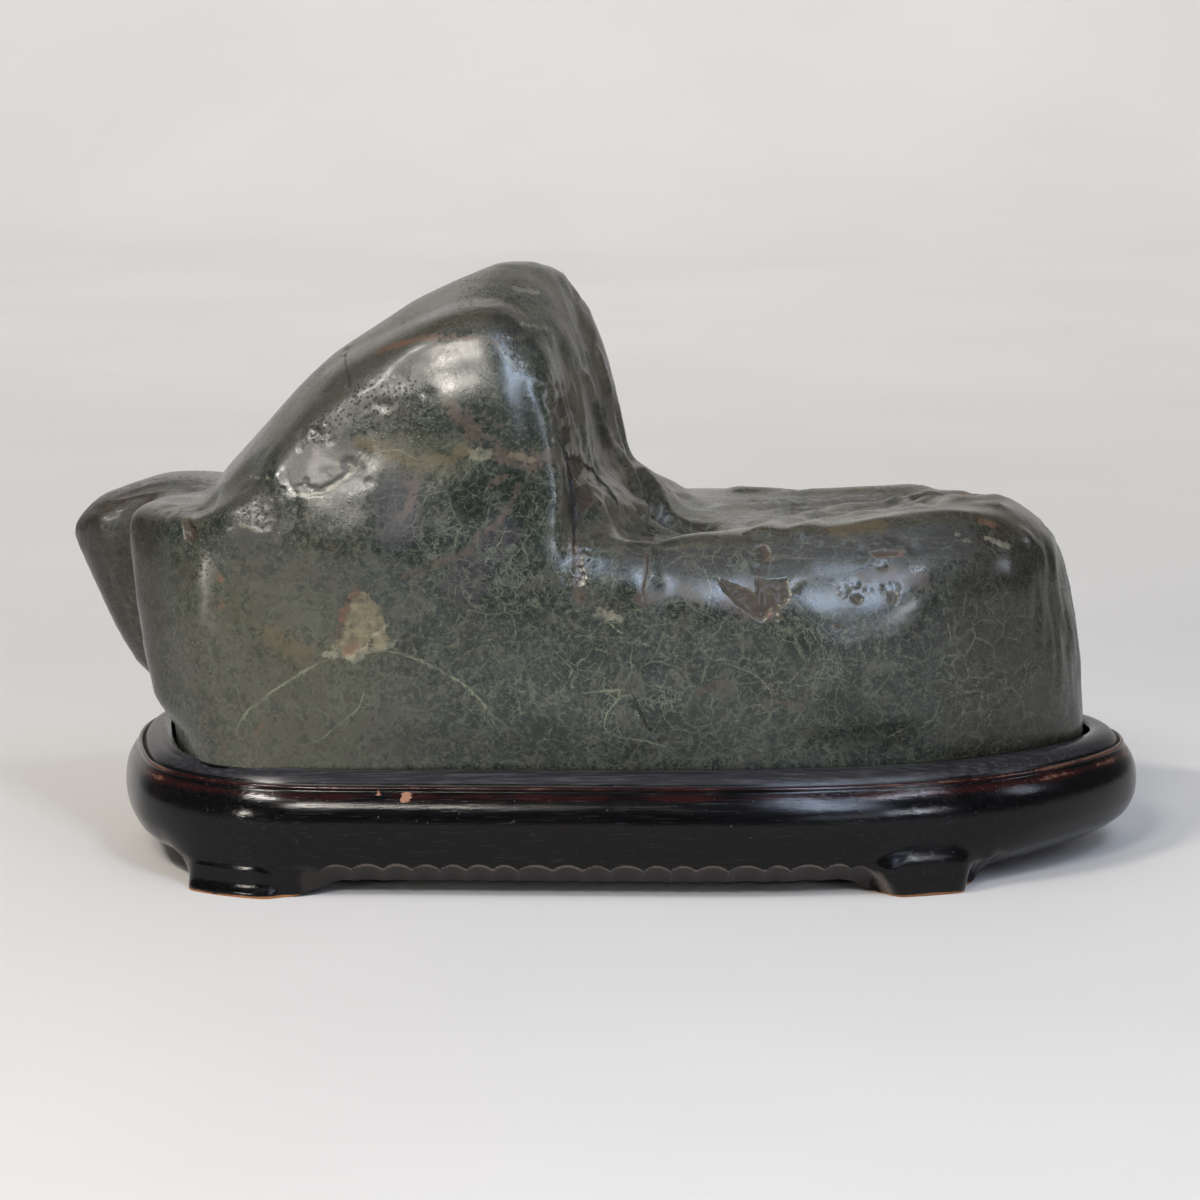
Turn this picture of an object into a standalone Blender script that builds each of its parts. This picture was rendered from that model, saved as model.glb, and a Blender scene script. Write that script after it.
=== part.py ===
"""A scholar's stone standing in the seat of a carved hardwood stand.

The stone is one piece: a worn boulder with a peak, a level shelf to its right and a
shoulder that overhangs behind its left end. The stand is one piece too: a tray with a
moulded rim, a swelling apron and four low feet, carved from a single board.

Frame: +X to the right of the display side, -Y towards the viewer, +Z up. The origin is
under the middle of the whole, on the surface that the feet stand on. The drawing below
has the same axes, from a point near that one; the last step moves the whole to the origin.
"""

import math

import bmesh
import bpy
import numpy as np
from mathutils import Vector, noise

MM = 0.001

# ---- Driving dimensions of the stand, in millimetres -------------------------------
# The bead round the rim, in plan, from the right end round by the back.
BEAD_OUTLINE = [
    (127.8, 3.0), (124.5, 15.0), (116.0, 27.5), (102.0, 40.0), (84.0, 49.5), (62.0, 55.0),
    (30.0, 57.5), (-20.0, 57.5), (-60.0, 56.5), (-86.0, 53.0), (-101.0, 46.0), (-111.0, 35.0),
    (-116.0, 22.0), (-117.2, 9.0), (-116.2, -3.0), (-114.0, -16.0), (-110.3, -30.0),
    (-104.0, -39.5), (-96.5, -46.5), (-86.5, -52.0), (-74.0, -55.0), (-44.0, -56.0),
    (-2.0, -57.2), (35.0, -57.4), (61.0, -54.2), (75.0, -51.0), (88.0, -46.2),
    (101.0, -38.0), (109.0, -31.0), (116.5, -23.0), (123.5, -13.5), (127.0, -5.0),
]
# The mouth of the seat, which follows the foot of the stone.
SEAT_OUTLINE = [
    (119.6, 3.0), (116.5, 13.0), (100.0, 29.5), (78.0, 41.5), (50.0, 48.0), (10.0, 50.5),
    (-40.0, 50.5), (-80.0, 47.0), (-98.0, 40.5), (-107.0, 30.0), (-110.0, 14.0),
    (-108.6, -2.0), (-105.7, -20.0), (-102.0, -34.0), (-96.5, -43.5), (-88.0, -48.0),
    (-73.0, -49.8), (-26.0, -50.0), (-2.0, -50.0), (22.0, -49.0), (46.0, -46.7),
    (70.0, -41.3), (82.5, -36.5), (95.0, -29.5), (106.0, -22.0), (114.5, -14.0),
    (118.8, -6.0),
]
RIM_TOP = 29.8  # height of the rim above the floor
SEAT_FLOOR = 20.0  # height of the seat's floor, on which the stone rests
APRON_FOOT = 3.5  # height of the apron's lower edge above the floor
SOLE_DEPTH = 14.0  # how far each foot runs in under the stand

# The moulding round the rim: (distance out from the bead, height), from the seat out.
RIM_MOULDING = [
    (-5.4, 29.8),
    (-3.4, 29.4),
    (-1.7, 28.1),
    (-0.8, 26.9),
    (0.2, 26.9),
    (0.6, 26.2),
    (0.4, 25.5),
    (1.6, 25.0),
    (3.0, 23.6),
    (3.9, 21.0),
    (4.1, 17.5),
    (3.7, 13.0),
]
# The same for what is below: the apron along the sides, the apron round the ends, and
# the feet.
SIDE_MOULDING = [(2.9, 9.6), (2.2, 8.4), (-0.2, 5.6), (-2.6, 3.5)]
END_MOULDING = [(1.8, 9.6), (-1.0, 7.2), (-4.8, 5.0), (-9.0, 3.5)]
FOOT_MOULDING = [(3.2, 9.6), (2.7, 6.6), (2.8, 3.0), (2.6, 0.0)]

# Each foot: its left and right ends on the floor, along X, and the runs in which its
# left and right sides sweep up to the apron; then its side of the stand.
FEET = [
    (-98.0, -77.0, 8.0, 15.0, -1),
    (64.5, 87.0, 8.5, 5.5, -1),
    (62.0, 86.0, 13.0, 8.0, 1),
    (-96.0, -73.0, 7.0, 13.0, 1),
]
STATIONS_SPARE = 9.5  # longest step between two stations along the rim
STATIONS_FINE = 2.7  # and the step at the sides of the feet

# ---- Driving dimensions of the stone, in millimetres -------------------------------
STONE_BASE = 20.3  # its underside, just clear of the seat's floor
SEAT_GAP = 0.6  # least play between the stone and the wall of the seat
ROUGH_VOXEL = 2.4  # grid on which each mass is worn round
STONE_VOXEL = 1.8  # grid on which the masses grow together
STONE_WEAR = 14  # passes of wear once they have
STONE_TRIANGLES = 6000
SWELLS = [(38.0, 1.1), (17.0, 0.45)]  # width and height of the surface's own unevenness

# The stone's masses. Each is the hull of these corners, which is then worn: the second
# value is how many passes of wear it gets.
STONE_MASSES = {
    "front_slab": (
        [
            (-118.5, -14, 88), (-117.5, -21, 76), (-114.5, -27, 56), (-107, -31, 36), (-102, -32, 15),
            (-99, -41, 89), (-99, -46, 55), (-92, -49, 15), (-60, -51, 86), (-60, -52, 50),
            (-60, -51, 15), (12, -44, 84), (12, -52, 72), (12, -53, 50), (12, -51, 15),
            (-104, 20, 15), (-109, 4, 60), (-111, 6, 89), (12, 30, 82), (12, 30, 15),
        ],
        10,
    ),
    "peak": (
        [
            (-25, -4, 148), (-12.5, 3, 146), (-46, -5, 138.2), (-67, -12, 126), (-66, 8, 122),
            (-69, -37, 115.5),
            (-45, -40, 131), (-25, -40, 133.5), (-18, -38, 129), (-15.5, -45, 112),
            (-12, -50, 89), (-10, -52, 74), (-60, -53, 84), (-96, -46, 86), (-98, -2, 91.5), (-96.5, -30, 91),
            (-96, 15, 87), (-87, -32, 98), (10, 18, 88), (-5, 9, 136), (0, 10, 125),
            (-18, 28, 132), (-58, 30, 110), (-78, 36, 88), (-14, 44, 88), (-9, 28, 114),
            (-60, -50, 50), (-10, -50, 50), (-90, 36, 50), (4, 40, 50),
        ],
        12,
    ),
    "skirt": (
        [
            (-12, -46, 82), (4, -39, 84), (24, 8, 84), (22, 34, 83), (-1, -33, 93),
            (10.5, 14, 95), (6, 32, 91), (-12, -36, 98), (-10, 30, 98), (-20, 0, 60),
            (20, 20, 60), (-8, -44, 60),
        ],
        6,
    ),
    "shelf": (
        [
            (-6, -42, 84), (36, -40, 84), (58, -36, 88), (76, -31, 89.5), (90, -24, 89.5),
            (96, -12, 89), (99, 4, 87), (91, 24, 88.5), (62, 41, 84.5), (20, 45, 82.5),
            (0, 45, 82.5), (-6, -51, 71), (40, -50, 69), (73, -44, 71), (98, -32, 73),
            (107, -16, 79), (110, 2, 79), (103, 27, 73), (66, 45, 70), (0, 51, 70),
            (114.5, -4, 67), (118, -4, 50), (-6, -52, 40), (44, -49, 40), (72, -43.5, 40),
            (97, -31, 40), (112, -18, 42), (108, 27, 40), (66, 46, 40), (0, 52, 40),
            (0, -50, 15), (46, -47, 15), (72, -41, 15), (97, -29, 15), (113, -16, 15),
            (119, -5, 36), (119, -5, 15), (108, 25, 15), (66, 45, 15), (0, 50, 15),
        ],
        16,
    ),
    "shoulder": (
        [
            (-137, 14, 77), (-130, 3, 83), (-131, 30, 84), (-113, 36, 89.5), (-94, 38, 89),
            (-94, 2, 89), (-113, 2, 88), (-118.5, 8, 42), (-110, 24, 36), (-101, -4, 34),
            (-84, 40, 34), (-84, -4, 34),
        ],
        8,
    ),
    "back": (
        [
            (-103, 28, 15), (-102, 34, 76), (-60, 47, 15), (-60, 54, 60), (-56, 44, 94),
            (-10, 51, 80), (20, 48, 15), (30, 51, 64), (-60, 0, 15), (-60, 0, 86), (20, 0, 15),
        ],
        12,
    ),
}

# Hollows worn into the stone: from, to, half width, depth. A negative depth is a swelling.
STONE_HOLLOWS = {
    "shelf_dish": ((24, -14, 84), (62, 4, 87), 26, 3.2),
    "shelf_dish_back": ((40, 26, 85), (66, 24, 86), 12, 1.2),
    "corner_pit": ((8, -33, 86), (20, -25, 84), 7.5, 3.2),
    "back_notch": ((82, 34, 87), (92, 8, 88), 6, 1.6),
    "shoulder_groove": ((-121, -2, 92), (-113, -6, 46), 6.0, 3.0),
    "shoulder_groove_top": ((-119, -4, 92), (-101, 6, 94), 4.0, 1.4),
    "slab_step": ((-99, -30, 96), (-98.5, -37, 80), 4, 1.2),
    "flute_front": ((-8, -24, 128), (4, -32, 92), 4.5, 2.0),
    "flute_middle": ((-3, -4, 130), (10, -8, 92), 4.5, 1.8),
    "flute_back": ((-4, 18, 128), (14, 20, 92), 6, 2.0),
    "ridge_swelling": ((-15, -36, 122), (-10, -47, 92), 6, -1.4),
    "face_hollow_high": ((-88, -38, 99), (-76, -42, 88), 6, 1.2),
    "face_hollow_wide": ((-58, -44, 98), (-30, -46, 86), 14, 1.6),
    "brow": ((-62, -30, 124), (-30, -34, 134), 7, -1.3),
    "left_foot_hollow": ((-100, -42, 46), (-92, -46, 34), 12, 1.5),
    "back_hollow_high": ((-40, 46, 96), (-14, 48, 88), 16, 5.0),
    "back_hollow_low": ((34, 52, 60), (52, 49, 44), 14, 4.0),
    "back_cleft": ((-72, 48, 84), (-62, 54, 40), 7, 4.0),
    "back_pit": ((8, 53, 60), (10, 53, 54), 7, 2.5),
    "end_flat": ((112, 14, 62), (114, 10, 44), 12, 2.0),
}


def clear_scene():
    for obj in list(bpy.data.objects):
        bpy.data.objects.remove(obj)


def material(name, colour, roughness):
    made = bpy.data.materials.new(name)
    made.use_nodes = True
    shader = made.node_tree.nodes["Principled BSDF"]
    shader.inputs["Base Color"].default_value = (*colour, 1.0)
    shader.inputs["Roughness"].default_value = roughness
    return made


def new_object(name, mesh):
    obj = bpy.data.objects.new(name, mesh)
    bpy.context.scene.collection.objects.link(obj)
    return obj


def metres(points):
    return np.asarray(points, float) * MM


# ---- Plan outlines -----------------------------------------------------------------


def closed_curve(points, smoothing=5.0, step=0.5):
    """A smooth closed line through these plan points, at an even step."""
    points = np.array(points, float)
    before, after, later = (np.roll(points, shift, axis=0) for shift in (1, -1, -2))
    parts = []
    for t in np.arange(0.0, 1.0, 0.02):
        parts.append(
            0.5
            * (
                2 * points
                + (after - before) * t
                + (2 * before - 5 * points + 4 * after - later) * t**2
                + (3 * points - before - 3 * after + later) * t**3
            )
        )
    dense = np.stack(parts, axis=1).reshape(-1, 2)
    ring = np.vstack([dense, dense[:1]])
    run = np.concatenate([[0.0], np.cumsum(np.linalg.norm(np.diff(ring, axis=0), axis=1))])
    count = round(run[-1] / step)
    even = np.linspace(0.0, run[-1], count, endpoint=False)
    line = np.stack([np.interp(even, run, ring[:, axis]) for axis in (0, 1)], axis=1)
    waves = np.fft.fftfreq(count, run[-1] / count)
    fade = np.exp(-2.0 * (math.pi * smoothing * waves) ** 2)[:, None]
    return np.real(np.fft.ifft(np.fft.fft(line, axis=0) * fade, axis=0))


BEAD = closed_curve(BEAD_OUTLINE)
SEAT = closed_curve(SEAT_OUTLINE, smoothing=4.0)


def direction(x, y):
    return np.mod(np.arctan2(y, x), 2 * math.pi)


def seat_radius(angle):
    """The seat outline's distance from the origin of the drawing in this direction."""
    angles = direction(SEAT[:, 0], SEAT[:, 1])
    order = np.argsort(angles)
    radii = np.hypot(SEAT[:, 0], SEAT[:, 1])[order]
    return np.interp(angle, angles[order], radii, period=2 * math.pi)


# ---- The stone ---------------------------------------------------------------------


def apply_modifiers(obj):
    """Freezes the object's modifiers into its mesh."""
    bpy.context.view_layer.update()
    graph = bpy.context.evaluated_depsgraph_get()
    frozen = bpy.data.meshes.new_from_object(obj.evaluated_get(graph))
    obj.modifiers.clear()
    obj.data = frozen


def add_remesh(obj, voxel_mm):
    remesh = obj.modifiers.new("grow_together", "REMESH")
    remesh.mode = "VOXEL"
    remesh.voxel_size = voxel_mm * MM


def add_wear(obj, passes):
    wear = obj.modifiers.new("wear", "SMOOTH")
    wear.factor = 0.5
    wear.iterations = passes


def mass(name, corners, passes):
    """One mass of the stone: the hull of its corners, worn round."""
    shape = bmesh.new()
    for corner in corners:
        shape.verts.new(metres(corner))
    bmesh.ops.convex_hull(shape, input=shape.verts)
    bmesh.ops.delete(shape, geom=[v for v in shape.verts if not v.link_faces], context="VERTS")
    mesh = bpy.data.meshes.new(name)
    shape.to_mesh(mesh)
    shape.free()
    obj = new_object(name, mesh)
    add_remesh(obj, ROUGH_VOXEL)
    add_wear(obj, passes)
    apply_modifiers(obj)
    return obj


def joined(name, objects):
    """The objects' meshes in one new object."""
    shape = bmesh.new()
    for obj in objects:
        shape.from_mesh(obj.data)
        bpy.data.objects.remove(obj)
    mesh = bpy.data.meshes.new(name)
    shape.to_mesh(mesh)
    shape.free()
    return new_object(name, mesh)


def read_points(mesh):
    """Vertex positions, in millimetres, and normals."""
    points = np.empty(len(mesh.vertices) * 3)
    mesh.vertices.foreach_get("co", points)
    normals = np.empty(len(mesh.vertices) * 3)
    mesh.vertices.foreach_get("normal", normals)
    return points.reshape(-1, 3) / MM, normals.reshape(-1, 3)


def write_points(mesh, points):
    mesh.vertices.foreach_set("co", metres(points).ravel())
    mesh.update()


def distance_to_line(points, start, end):
    start, end = np.array(start, float), np.array(end, float)
    along = end - start
    share = np.clip((points - start) @ along / max(along @ along, 1e-9), 0.0, 1.0)
    return np.linalg.norm(points - start - share[:, None] * along, axis=1)


def wear_hollows(points, normals):
    """Presses each hollow into the surface."""
    sunk = np.zeros(len(points))
    for start, end, half_width, depth in STONE_HOLLOWS.values():
        away = distance_to_line(points, start, end) / half_width
        sunk += depth * np.clip(1.0 - (away / 1.6) ** 2, 0.0, 1.0) ** 2
    return points - normals * sunk[:, None]


def raise_swells(points, normals):
    """The stone's own unevenness, broad and then finer."""
    raised = np.zeros(len(points))
    for seed, (width, height) in enumerate(SWELLS):
        shift = Vector((11.3 * seed, 4.7, 2.9))
        values = [noise.noise(Vector(point) / width + shift) for point in points]
        raised += height * np.array(values)
    return points + normals * raised[:, None]


def fit_to_seat(points):
    """Draws in whatever would foul the seat's wall, and levels the stone's underside."""
    angle = direction(points[:, 0], points[:, 1])
    reach = np.hypot(points[:, 0], points[:, 1])
    limit = seat_radius(angle) - SEAT_GAP
    ease = np.clip((points[:, 2] - RIM_TOP) / 14.0, 0.0, 1.0)
    most = limit + np.maximum(reach - limit, 0.0) * ease * ease * (3 - 2 * ease)
    points[:, :2] *= (np.minimum(reach, most) / np.maximum(reach, 1e-9))[:, None]
    points[:, 2] = np.maximum(points[:, 2], STONE_BASE)
    return points


def make_stone():
    masses = [mass(name, *given) for name, given in STONE_MASSES.items()]
    stone = joined("stone", masses)
    add_remesh(stone, STONE_VOXEL)
    add_wear(stone, STONE_WEAR)
    apply_modifiers(stone)
    write_points(stone.data, wear_hollows(*read_points(stone.data)))
    write_points(stone.data, raise_swells(*read_points(stone.data)))
    write_points(stone.data, fit_to_seat(read_points(stone.data)[0]))
    thin = stone.modifiers.new("thin_out", "DECIMATE")
    thin.ratio = STONE_TRIANGLES / (2 * len(stone.data.polygons))
    apply_modifiers(stone)
    stone.data.shade_smooth()
    stone.data.materials.append(material("green_serpentine", (0.045, 0.055, 0.042), 0.28))
    return stone


# ---- The stand ---------------------------------------------------------------------


def smoothstep(value):
    value = min(max(value, 0.0), 1.0)
    return value * value * (3.0 - 2.0 * value)


def foot_share(place):
    """How much of a foot there is at this point of the bead: 1 on a foot, 0 between."""
    x, y = place
    share = 0.0
    for left, right, left_run, right_run, side in FEET:
        if y * side < 0:
            continue
        away_left = (left - x) / left_run
        away_right = (x - right) / right_run
        share = max(share, 1.0 - smoothstep(max(away_left, away_right, 0.0)))
    return share


def rim_stations():
    """Points of the bead outline, closer together at the feet and round the ends, each
    with the outward direction and the share of a foot there."""
    count = len(BEAD)
    length = np.linalg.norm(np.diff(BEAD, axis=0, append=BEAD[:1]), axis=1).sum()
    step = length / count
    stations = []
    at = 0.0
    while at < count - 0.5 * STATIONS_FINE / step:
        index = int(at)
        place = BEAD[index]
        along = BEAD[(index + 3) % count] - BEAD[index - 3]
        out = np.array([along[1], -along[0]]) / np.linalg.norm(along)
        share = foot_share(place)
        ahead = foot_share(BEAD[(index + round(3.0 / step)) % count])
        behind = foot_share(BEAD[index - round(3.0 / step)])
        stations.append((place, out, share))
        changing = 0.001 < share < 0.999 or abs(ahead - behind) > 0.001
        straight = smoothstep((abs(out[1]) - 0.5) / 0.45)
        spare = STATIONS_SPARE * (0.75 + 0.5 * straight)
        at += (STATIONS_FINE if changing else spare) / step
    return stations


def lower_moulding(out, share):
    """The moulding below the swell, for this direction and share of a foot."""
    end = smoothstep((abs(out[0]) - 0.25) / 0.6)
    rows = []
    for side, round_end, foot in zip(SIDE_MOULDING, END_MOULDING, FOOT_MOULDING):
        apron = [s + (e - s) * end for s, e in zip(side, round_end)]
        rows.append([a + (f - a) * share for a, f in zip(apron, foot)])
    return rows


def station_points(place, out, share):
    """The section of the stand at one station, from the seat's floor out over the rim and
    round to the underside."""

    def at(offset, height):
        spot = place + offset * out
        return (spot[0], spot[1], height)

    lip = place + RIM_MOULDING[0][0] * out
    angle = direction(*lip)
    radius = seat_radius(angle)
    seat = np.array([math.cos(angle), math.sin(angle)]) * radius
    edge = seat + 0.3 * (lip - seat)
    section = [(*seat, SEAT_FLOOR), (*seat, RIM_TOP - 1.0), (*edge, RIM_TOP - 0.2)]
    section += [at(offset, height) for offset, height in RIM_MOULDING]
    section += [at(offset, height) for offset, height in lower_moulding(out, share)]
    sole = section[-1][2]
    section.append(at(-SOLE_DEPTH, sole))
    section.append(at(-SOLE_DEPTH - 1.5, APRON_FOOT + 0.05))
    return section


def make_stand():
    shape = bmesh.new()
    rings = []
    for place, out, share in rim_stations():
        section = station_points(place, out, share)
        rings.append([shape.verts.new(point) for point in metres(section)])
    for here, there in zip(rings, rings[1:] + rings[:1]):
        for low in range(len(here) - 1):
            shape.faces.new([here[low], there[low], there[low + 1], here[low + 1]])
    shape.faces.new([ring[0] for ring in rings])
    shape.faces.new([ring[-1] for ring in reversed(rings)])
    bmesh.ops.recalc_face_normals(shape, faces=shape.faces)
    mesh = bpy.data.meshes.new("stand")
    shape.to_mesh(mesh)
    shape.free()
    mesh.shade_smooth()
    mesh.set_sharp_from_angle(angle=math.radians(35))
    stand = new_object("stand", mesh)
    stand.data.materials.append(material("lacquered_rosewood", (0.012, 0.008, 0.008), 0.22))
    return stand


def move_to_origin(objects):
    """Moves the whole so that the origin is under its middle, in plan."""
    points = np.vstack([read_points(obj.data)[0] for obj in objects])
    middle = 0.5 * (points.min(axis=0) + points.max(axis=0))
    for obj in objects:
        write_points(obj.data, read_points(obj.data)[0] - (middle[0], middle[1], 0.0))


def main():
    clear_scene()
    move_to_origin([make_stand(), make_stone()])


main()
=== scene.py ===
"""A scholar's stone in its carved stand, finished for the eye.

The stone is dark green serpentine, worn round by water and then waxed by hand. The stand
is hardwood under near-black lacquer. Both are built in millimetres on the axes of the
drawing they share, then moved into the frame.
"""

import math

import bmesh
import bpy
import numpy as np
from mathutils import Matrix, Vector, noise


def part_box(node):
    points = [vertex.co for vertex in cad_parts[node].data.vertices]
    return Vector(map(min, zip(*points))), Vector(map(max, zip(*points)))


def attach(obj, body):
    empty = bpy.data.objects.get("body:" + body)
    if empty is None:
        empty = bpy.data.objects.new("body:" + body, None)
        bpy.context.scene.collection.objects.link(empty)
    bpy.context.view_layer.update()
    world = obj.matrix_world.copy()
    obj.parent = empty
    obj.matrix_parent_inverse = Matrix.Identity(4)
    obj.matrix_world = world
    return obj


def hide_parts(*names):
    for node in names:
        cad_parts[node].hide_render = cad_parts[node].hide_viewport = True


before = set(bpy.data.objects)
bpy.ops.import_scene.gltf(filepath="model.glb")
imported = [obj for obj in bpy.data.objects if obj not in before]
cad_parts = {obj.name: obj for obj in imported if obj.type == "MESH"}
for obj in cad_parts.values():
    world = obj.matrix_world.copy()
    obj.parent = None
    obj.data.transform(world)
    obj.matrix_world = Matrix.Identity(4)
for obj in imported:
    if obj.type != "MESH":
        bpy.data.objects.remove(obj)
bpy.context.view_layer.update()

MM = 0.001

# ==== The drawing: outlines and masses, in millimetres ===============================

# The bead round the rim, in plan, from the right end round by the back.
BEAD_OUTLINE = [
    (127.8, 3), (124.5, 15), (116, 27.5), (102, 40), (84, 49.5), (62, 55), (30, 57.5), (-20, 57.5),
    (-60, 56.5), (-86, 53), (-101, 46), (-111, 35), (-116, 22), (-117.2, 9), (-116.2, -3), (-114, -16),
    (-110.3, -30), (-104, -39.5), (-96.5, -46.5), (-86.5, -52), (-74, -55), (-44, -56), (-2, -57.2),
    (35, -57.4), (61, -54.2), (75, -51), (88, -46.2), (101, -38), (109, -31), (116.5, -23),
    (123.5, -13.5), (127, -5),
]
# The mouth of the seat, which follows the foot of the stone.
SEAT_OUTLINE = [
    (119.6, 3), (116.5, 13), (100, 29.5), (78, 41.5), (50, 48), (10, 50.5), (-40, 50.5), (-80, 47),
    (-98, 40.5), (-107, 30), (-110, 14), (-108.6, -2), (-105.7, -20), (-102, -34), (-96.5, -43.5),
    (-88, -48), (-73, -49.8), (-26, -50), (-2, -50), (22, -49), (46, -46.7), (70, -41.3), (82.5, -36.5),
    (95, -29.5), (106, -22), (114.5, -14), (118.8, -6),
]
RIM_TOP = 29.8
SEAT_FLOOR = 20.0
APRON_FOOT = 3.5
UNDERSIDE = 3.55
SOLE_DEPTH = 14.0
SOLE_WALL = 1.5  # how far a foot's inner side leans in, from its sole to the underside
BELLY_REACH = 4.1  # how far the apron swells out past the bead

STONE_BASE = 20.3
SEAT_GAP = 0.6
ROUGH_VOXEL = 2.4  # grid on which each mass is worn round
STONE_VOXEL = 1.6  # grid on which the masses grow together
STONE_WEAR = 20  # passes of wear once they have
# The worn skin's own unevenness, in layers: width, seed of the noise, height.
SWELLS = [(38, 0, 1.1), (17, 1, 0.45), (7, 2, 0.1), (3.2, 3, 0.035)]
SEAT_EASE = 14.0  # how far above the rim the stone is still drawn in towards the seat
HOLLOW_SPREAD = 1.6  # how far past its half width a hollow fades out

# The stone's masses: the corners of each, and how many passes of wear it gets.
STONE_MASSES = {
    "front_slab": ([(-118.5, -14, 88), (-117.5, -21, 76), (-114.5, -27, 56), (-107, -31, 36),
        (-102, -32, 15), (-99, -41, 89), (-99, -46, 55), (-92, -49, 15), (-60, -51, 86), (-60, -52, 50),
        (-60, -51, 15), (12, -44, 84), (12, -52, 72), (12, -53, 50), (12, -51, 15), (-104, 20, 15),
        (-109, 4, 60), (-111, 6, 89), (12, 30, 82), (12, 30, 15)], 10),
    "peak": ([(-25, -4, 148), (-12.5, 3, 146), (-46, -5, 138.2), (-67, -12, 126), (-66, 8, 122),
        (-69, -37, 115.5), (-45, -40, 131), (-25, -40, 133.5), (-18, -38, 129), (-15.5, -45, 112),
        (-12, -50, 89), (-10, -52, 74), (-60, -53, 84), (-96, -46, 86), (-98, -2, 91.5),
        (-96.5, -30, 91), (-96, 15, 87), (-87, -32, 98), (10, 18, 88), (-5, 9, 136), (0, 10, 125),
        (-18, 28, 132), (-58, 30, 110), (-78, 36, 88), (-14, 44, 88), (-9, 28, 114), (-60, -50, 50),
        (-10, -50, 50), (-90, 36, 50), (4, 40, 50)], 12),
    "skirt": ([(-12, -46, 82), (4, -39, 84), (24, 8, 84), (22, 34, 83), (-1, -33, 93), (10.5, 14, 95),
        (6, 32, 91), (-12, -36, 98), (-10, 30, 98), (-20, 0, 60), (20, 20, 60), (-8, -44, 60)], 6),
    "shelf": ([(-6, -42, 84), (36, -40, 84), (58, -36, 88), (76, -31, 89.5), (90, -24, 89.5),
        (96, -12, 89), (99, 4, 87), (91, 24, 88.5), (62, 41, 84.5), (20, 45, 82.5), (0, 45, 82.5),
        (-6, -51, 71), (40, -50, 69), (73, -44, 71), (98, -32, 73), (107, -16, 79), (110, 2, 79),
        (103, 27, 73), (66, 45, 70), (0, 51, 70), (114.5, -4, 67), (118, -4, 50), (-6, -52, 40),
        (44, -49, 40), (72, -43.5, 40), (97, -31, 40), (112, -18, 42), (108, 27, 40), (66, 46, 40),
        (0, 52, 40), (0, -50, 15), (46, -47, 15), (72, -41, 15), (97, -29, 15), (113, -16, 15),
        (119, -5, 36), (119, -5, 15), (108, 25, 15), (66, 45, 15), (0, 50, 15)], 16),
    "shoulder": ([(-137, 14, 77), (-130, 3, 83), (-131, 30, 84), (-113, 36, 89.5), (-94, 38, 89),
        (-94, 2, 89), (-113, 2, 88), (-118.5, 8, 42), (-110, 24, 36), (-101, -4, 34), (-84, 40, 34),
        (-84, -4, 34)], 8),
    "back": ([(-103, 28, 15), (-102, 34, 76), (-60, 47, 15), (-60, 54, 60), (-56, 44, 94),
        (-10, 51, 80), (20, 48, 15), (30, 51, 64), (-60, 0, 15), (-60, 0, 86), (20, 0, 15)], 12),
}

# Hollows worn into the stone: from, to, half width, depth. A negative depth is a swelling.
STONE_HOLLOWS = {
    "shelf_dish": ((24, -14, 84), (62, 4, 87), 26, 3.2),
    "shelf_dish_back": ((40, 26, 85), (66, 24, 86), 12, 1.2),
    "corner_pit": ((8, -33, 86), (20, -25, 84), 7.5, 3.2),
    "back_notch": ((82, 34, 87), (92, 8, 88), 6, 1.6),
    "shoulder_groove": ((-121, -2, 92), (-113, -6, 46), 6, 3),
    "shoulder_groove_top": ((-119, -4, 92), (-101, 6, 94), 4, 1.4),
    "slab_step": ((-99, -30, 96), (-98.5, -37, 80), 4, 1.2),
    "flute_front": ((-8, -24, 128), (4, -32, 92), 4.5, 2),
    "flute_middle": ((-3, -4, 130), (10, -8, 92), 4.5, 1.8),
    "flute_back": ((-4, 18, 128), (14, 20, 92), 6, 2),
    "ridge_swelling": ((-15, -36, 122), (-10, -47, 92), 6, -1.4),
    "face_hollow_high": ((-88, -38, 99), (-76, -42, 88), 6, 1.2),
    "face_hollow_wide": ((-58, -44, 98), (-30, -46, 86), 14, 1.6),
    "brow": ((-62, -30, 124), (-30, -34, 134), 7, -1.3),
    "left_foot_hollow": ((-100, -42, 46), (-92, -46, 34), 12, 1.5),
    "back_hollow_high": ((-40, 46, 96), (-14, 48, 88), 16, 5),
    "back_hollow_low": ((34, 52, 60), (52, 49, 44), 14, 4),
    "back_cleft": ((-72, 48, 84), (-62, 54, 40), 7, 4),
    "back_pit": ((8, 53, 60), (10, 53, 54), 7, 2.5),
    "end_flat": ((112, 14, 62), (114, 10, 44), 12, 2),
}

# ==== Marks on the stone, in the frame's own millimetres =============================
# Those on the front are given in X and Z, as it is seen square on.

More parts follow.
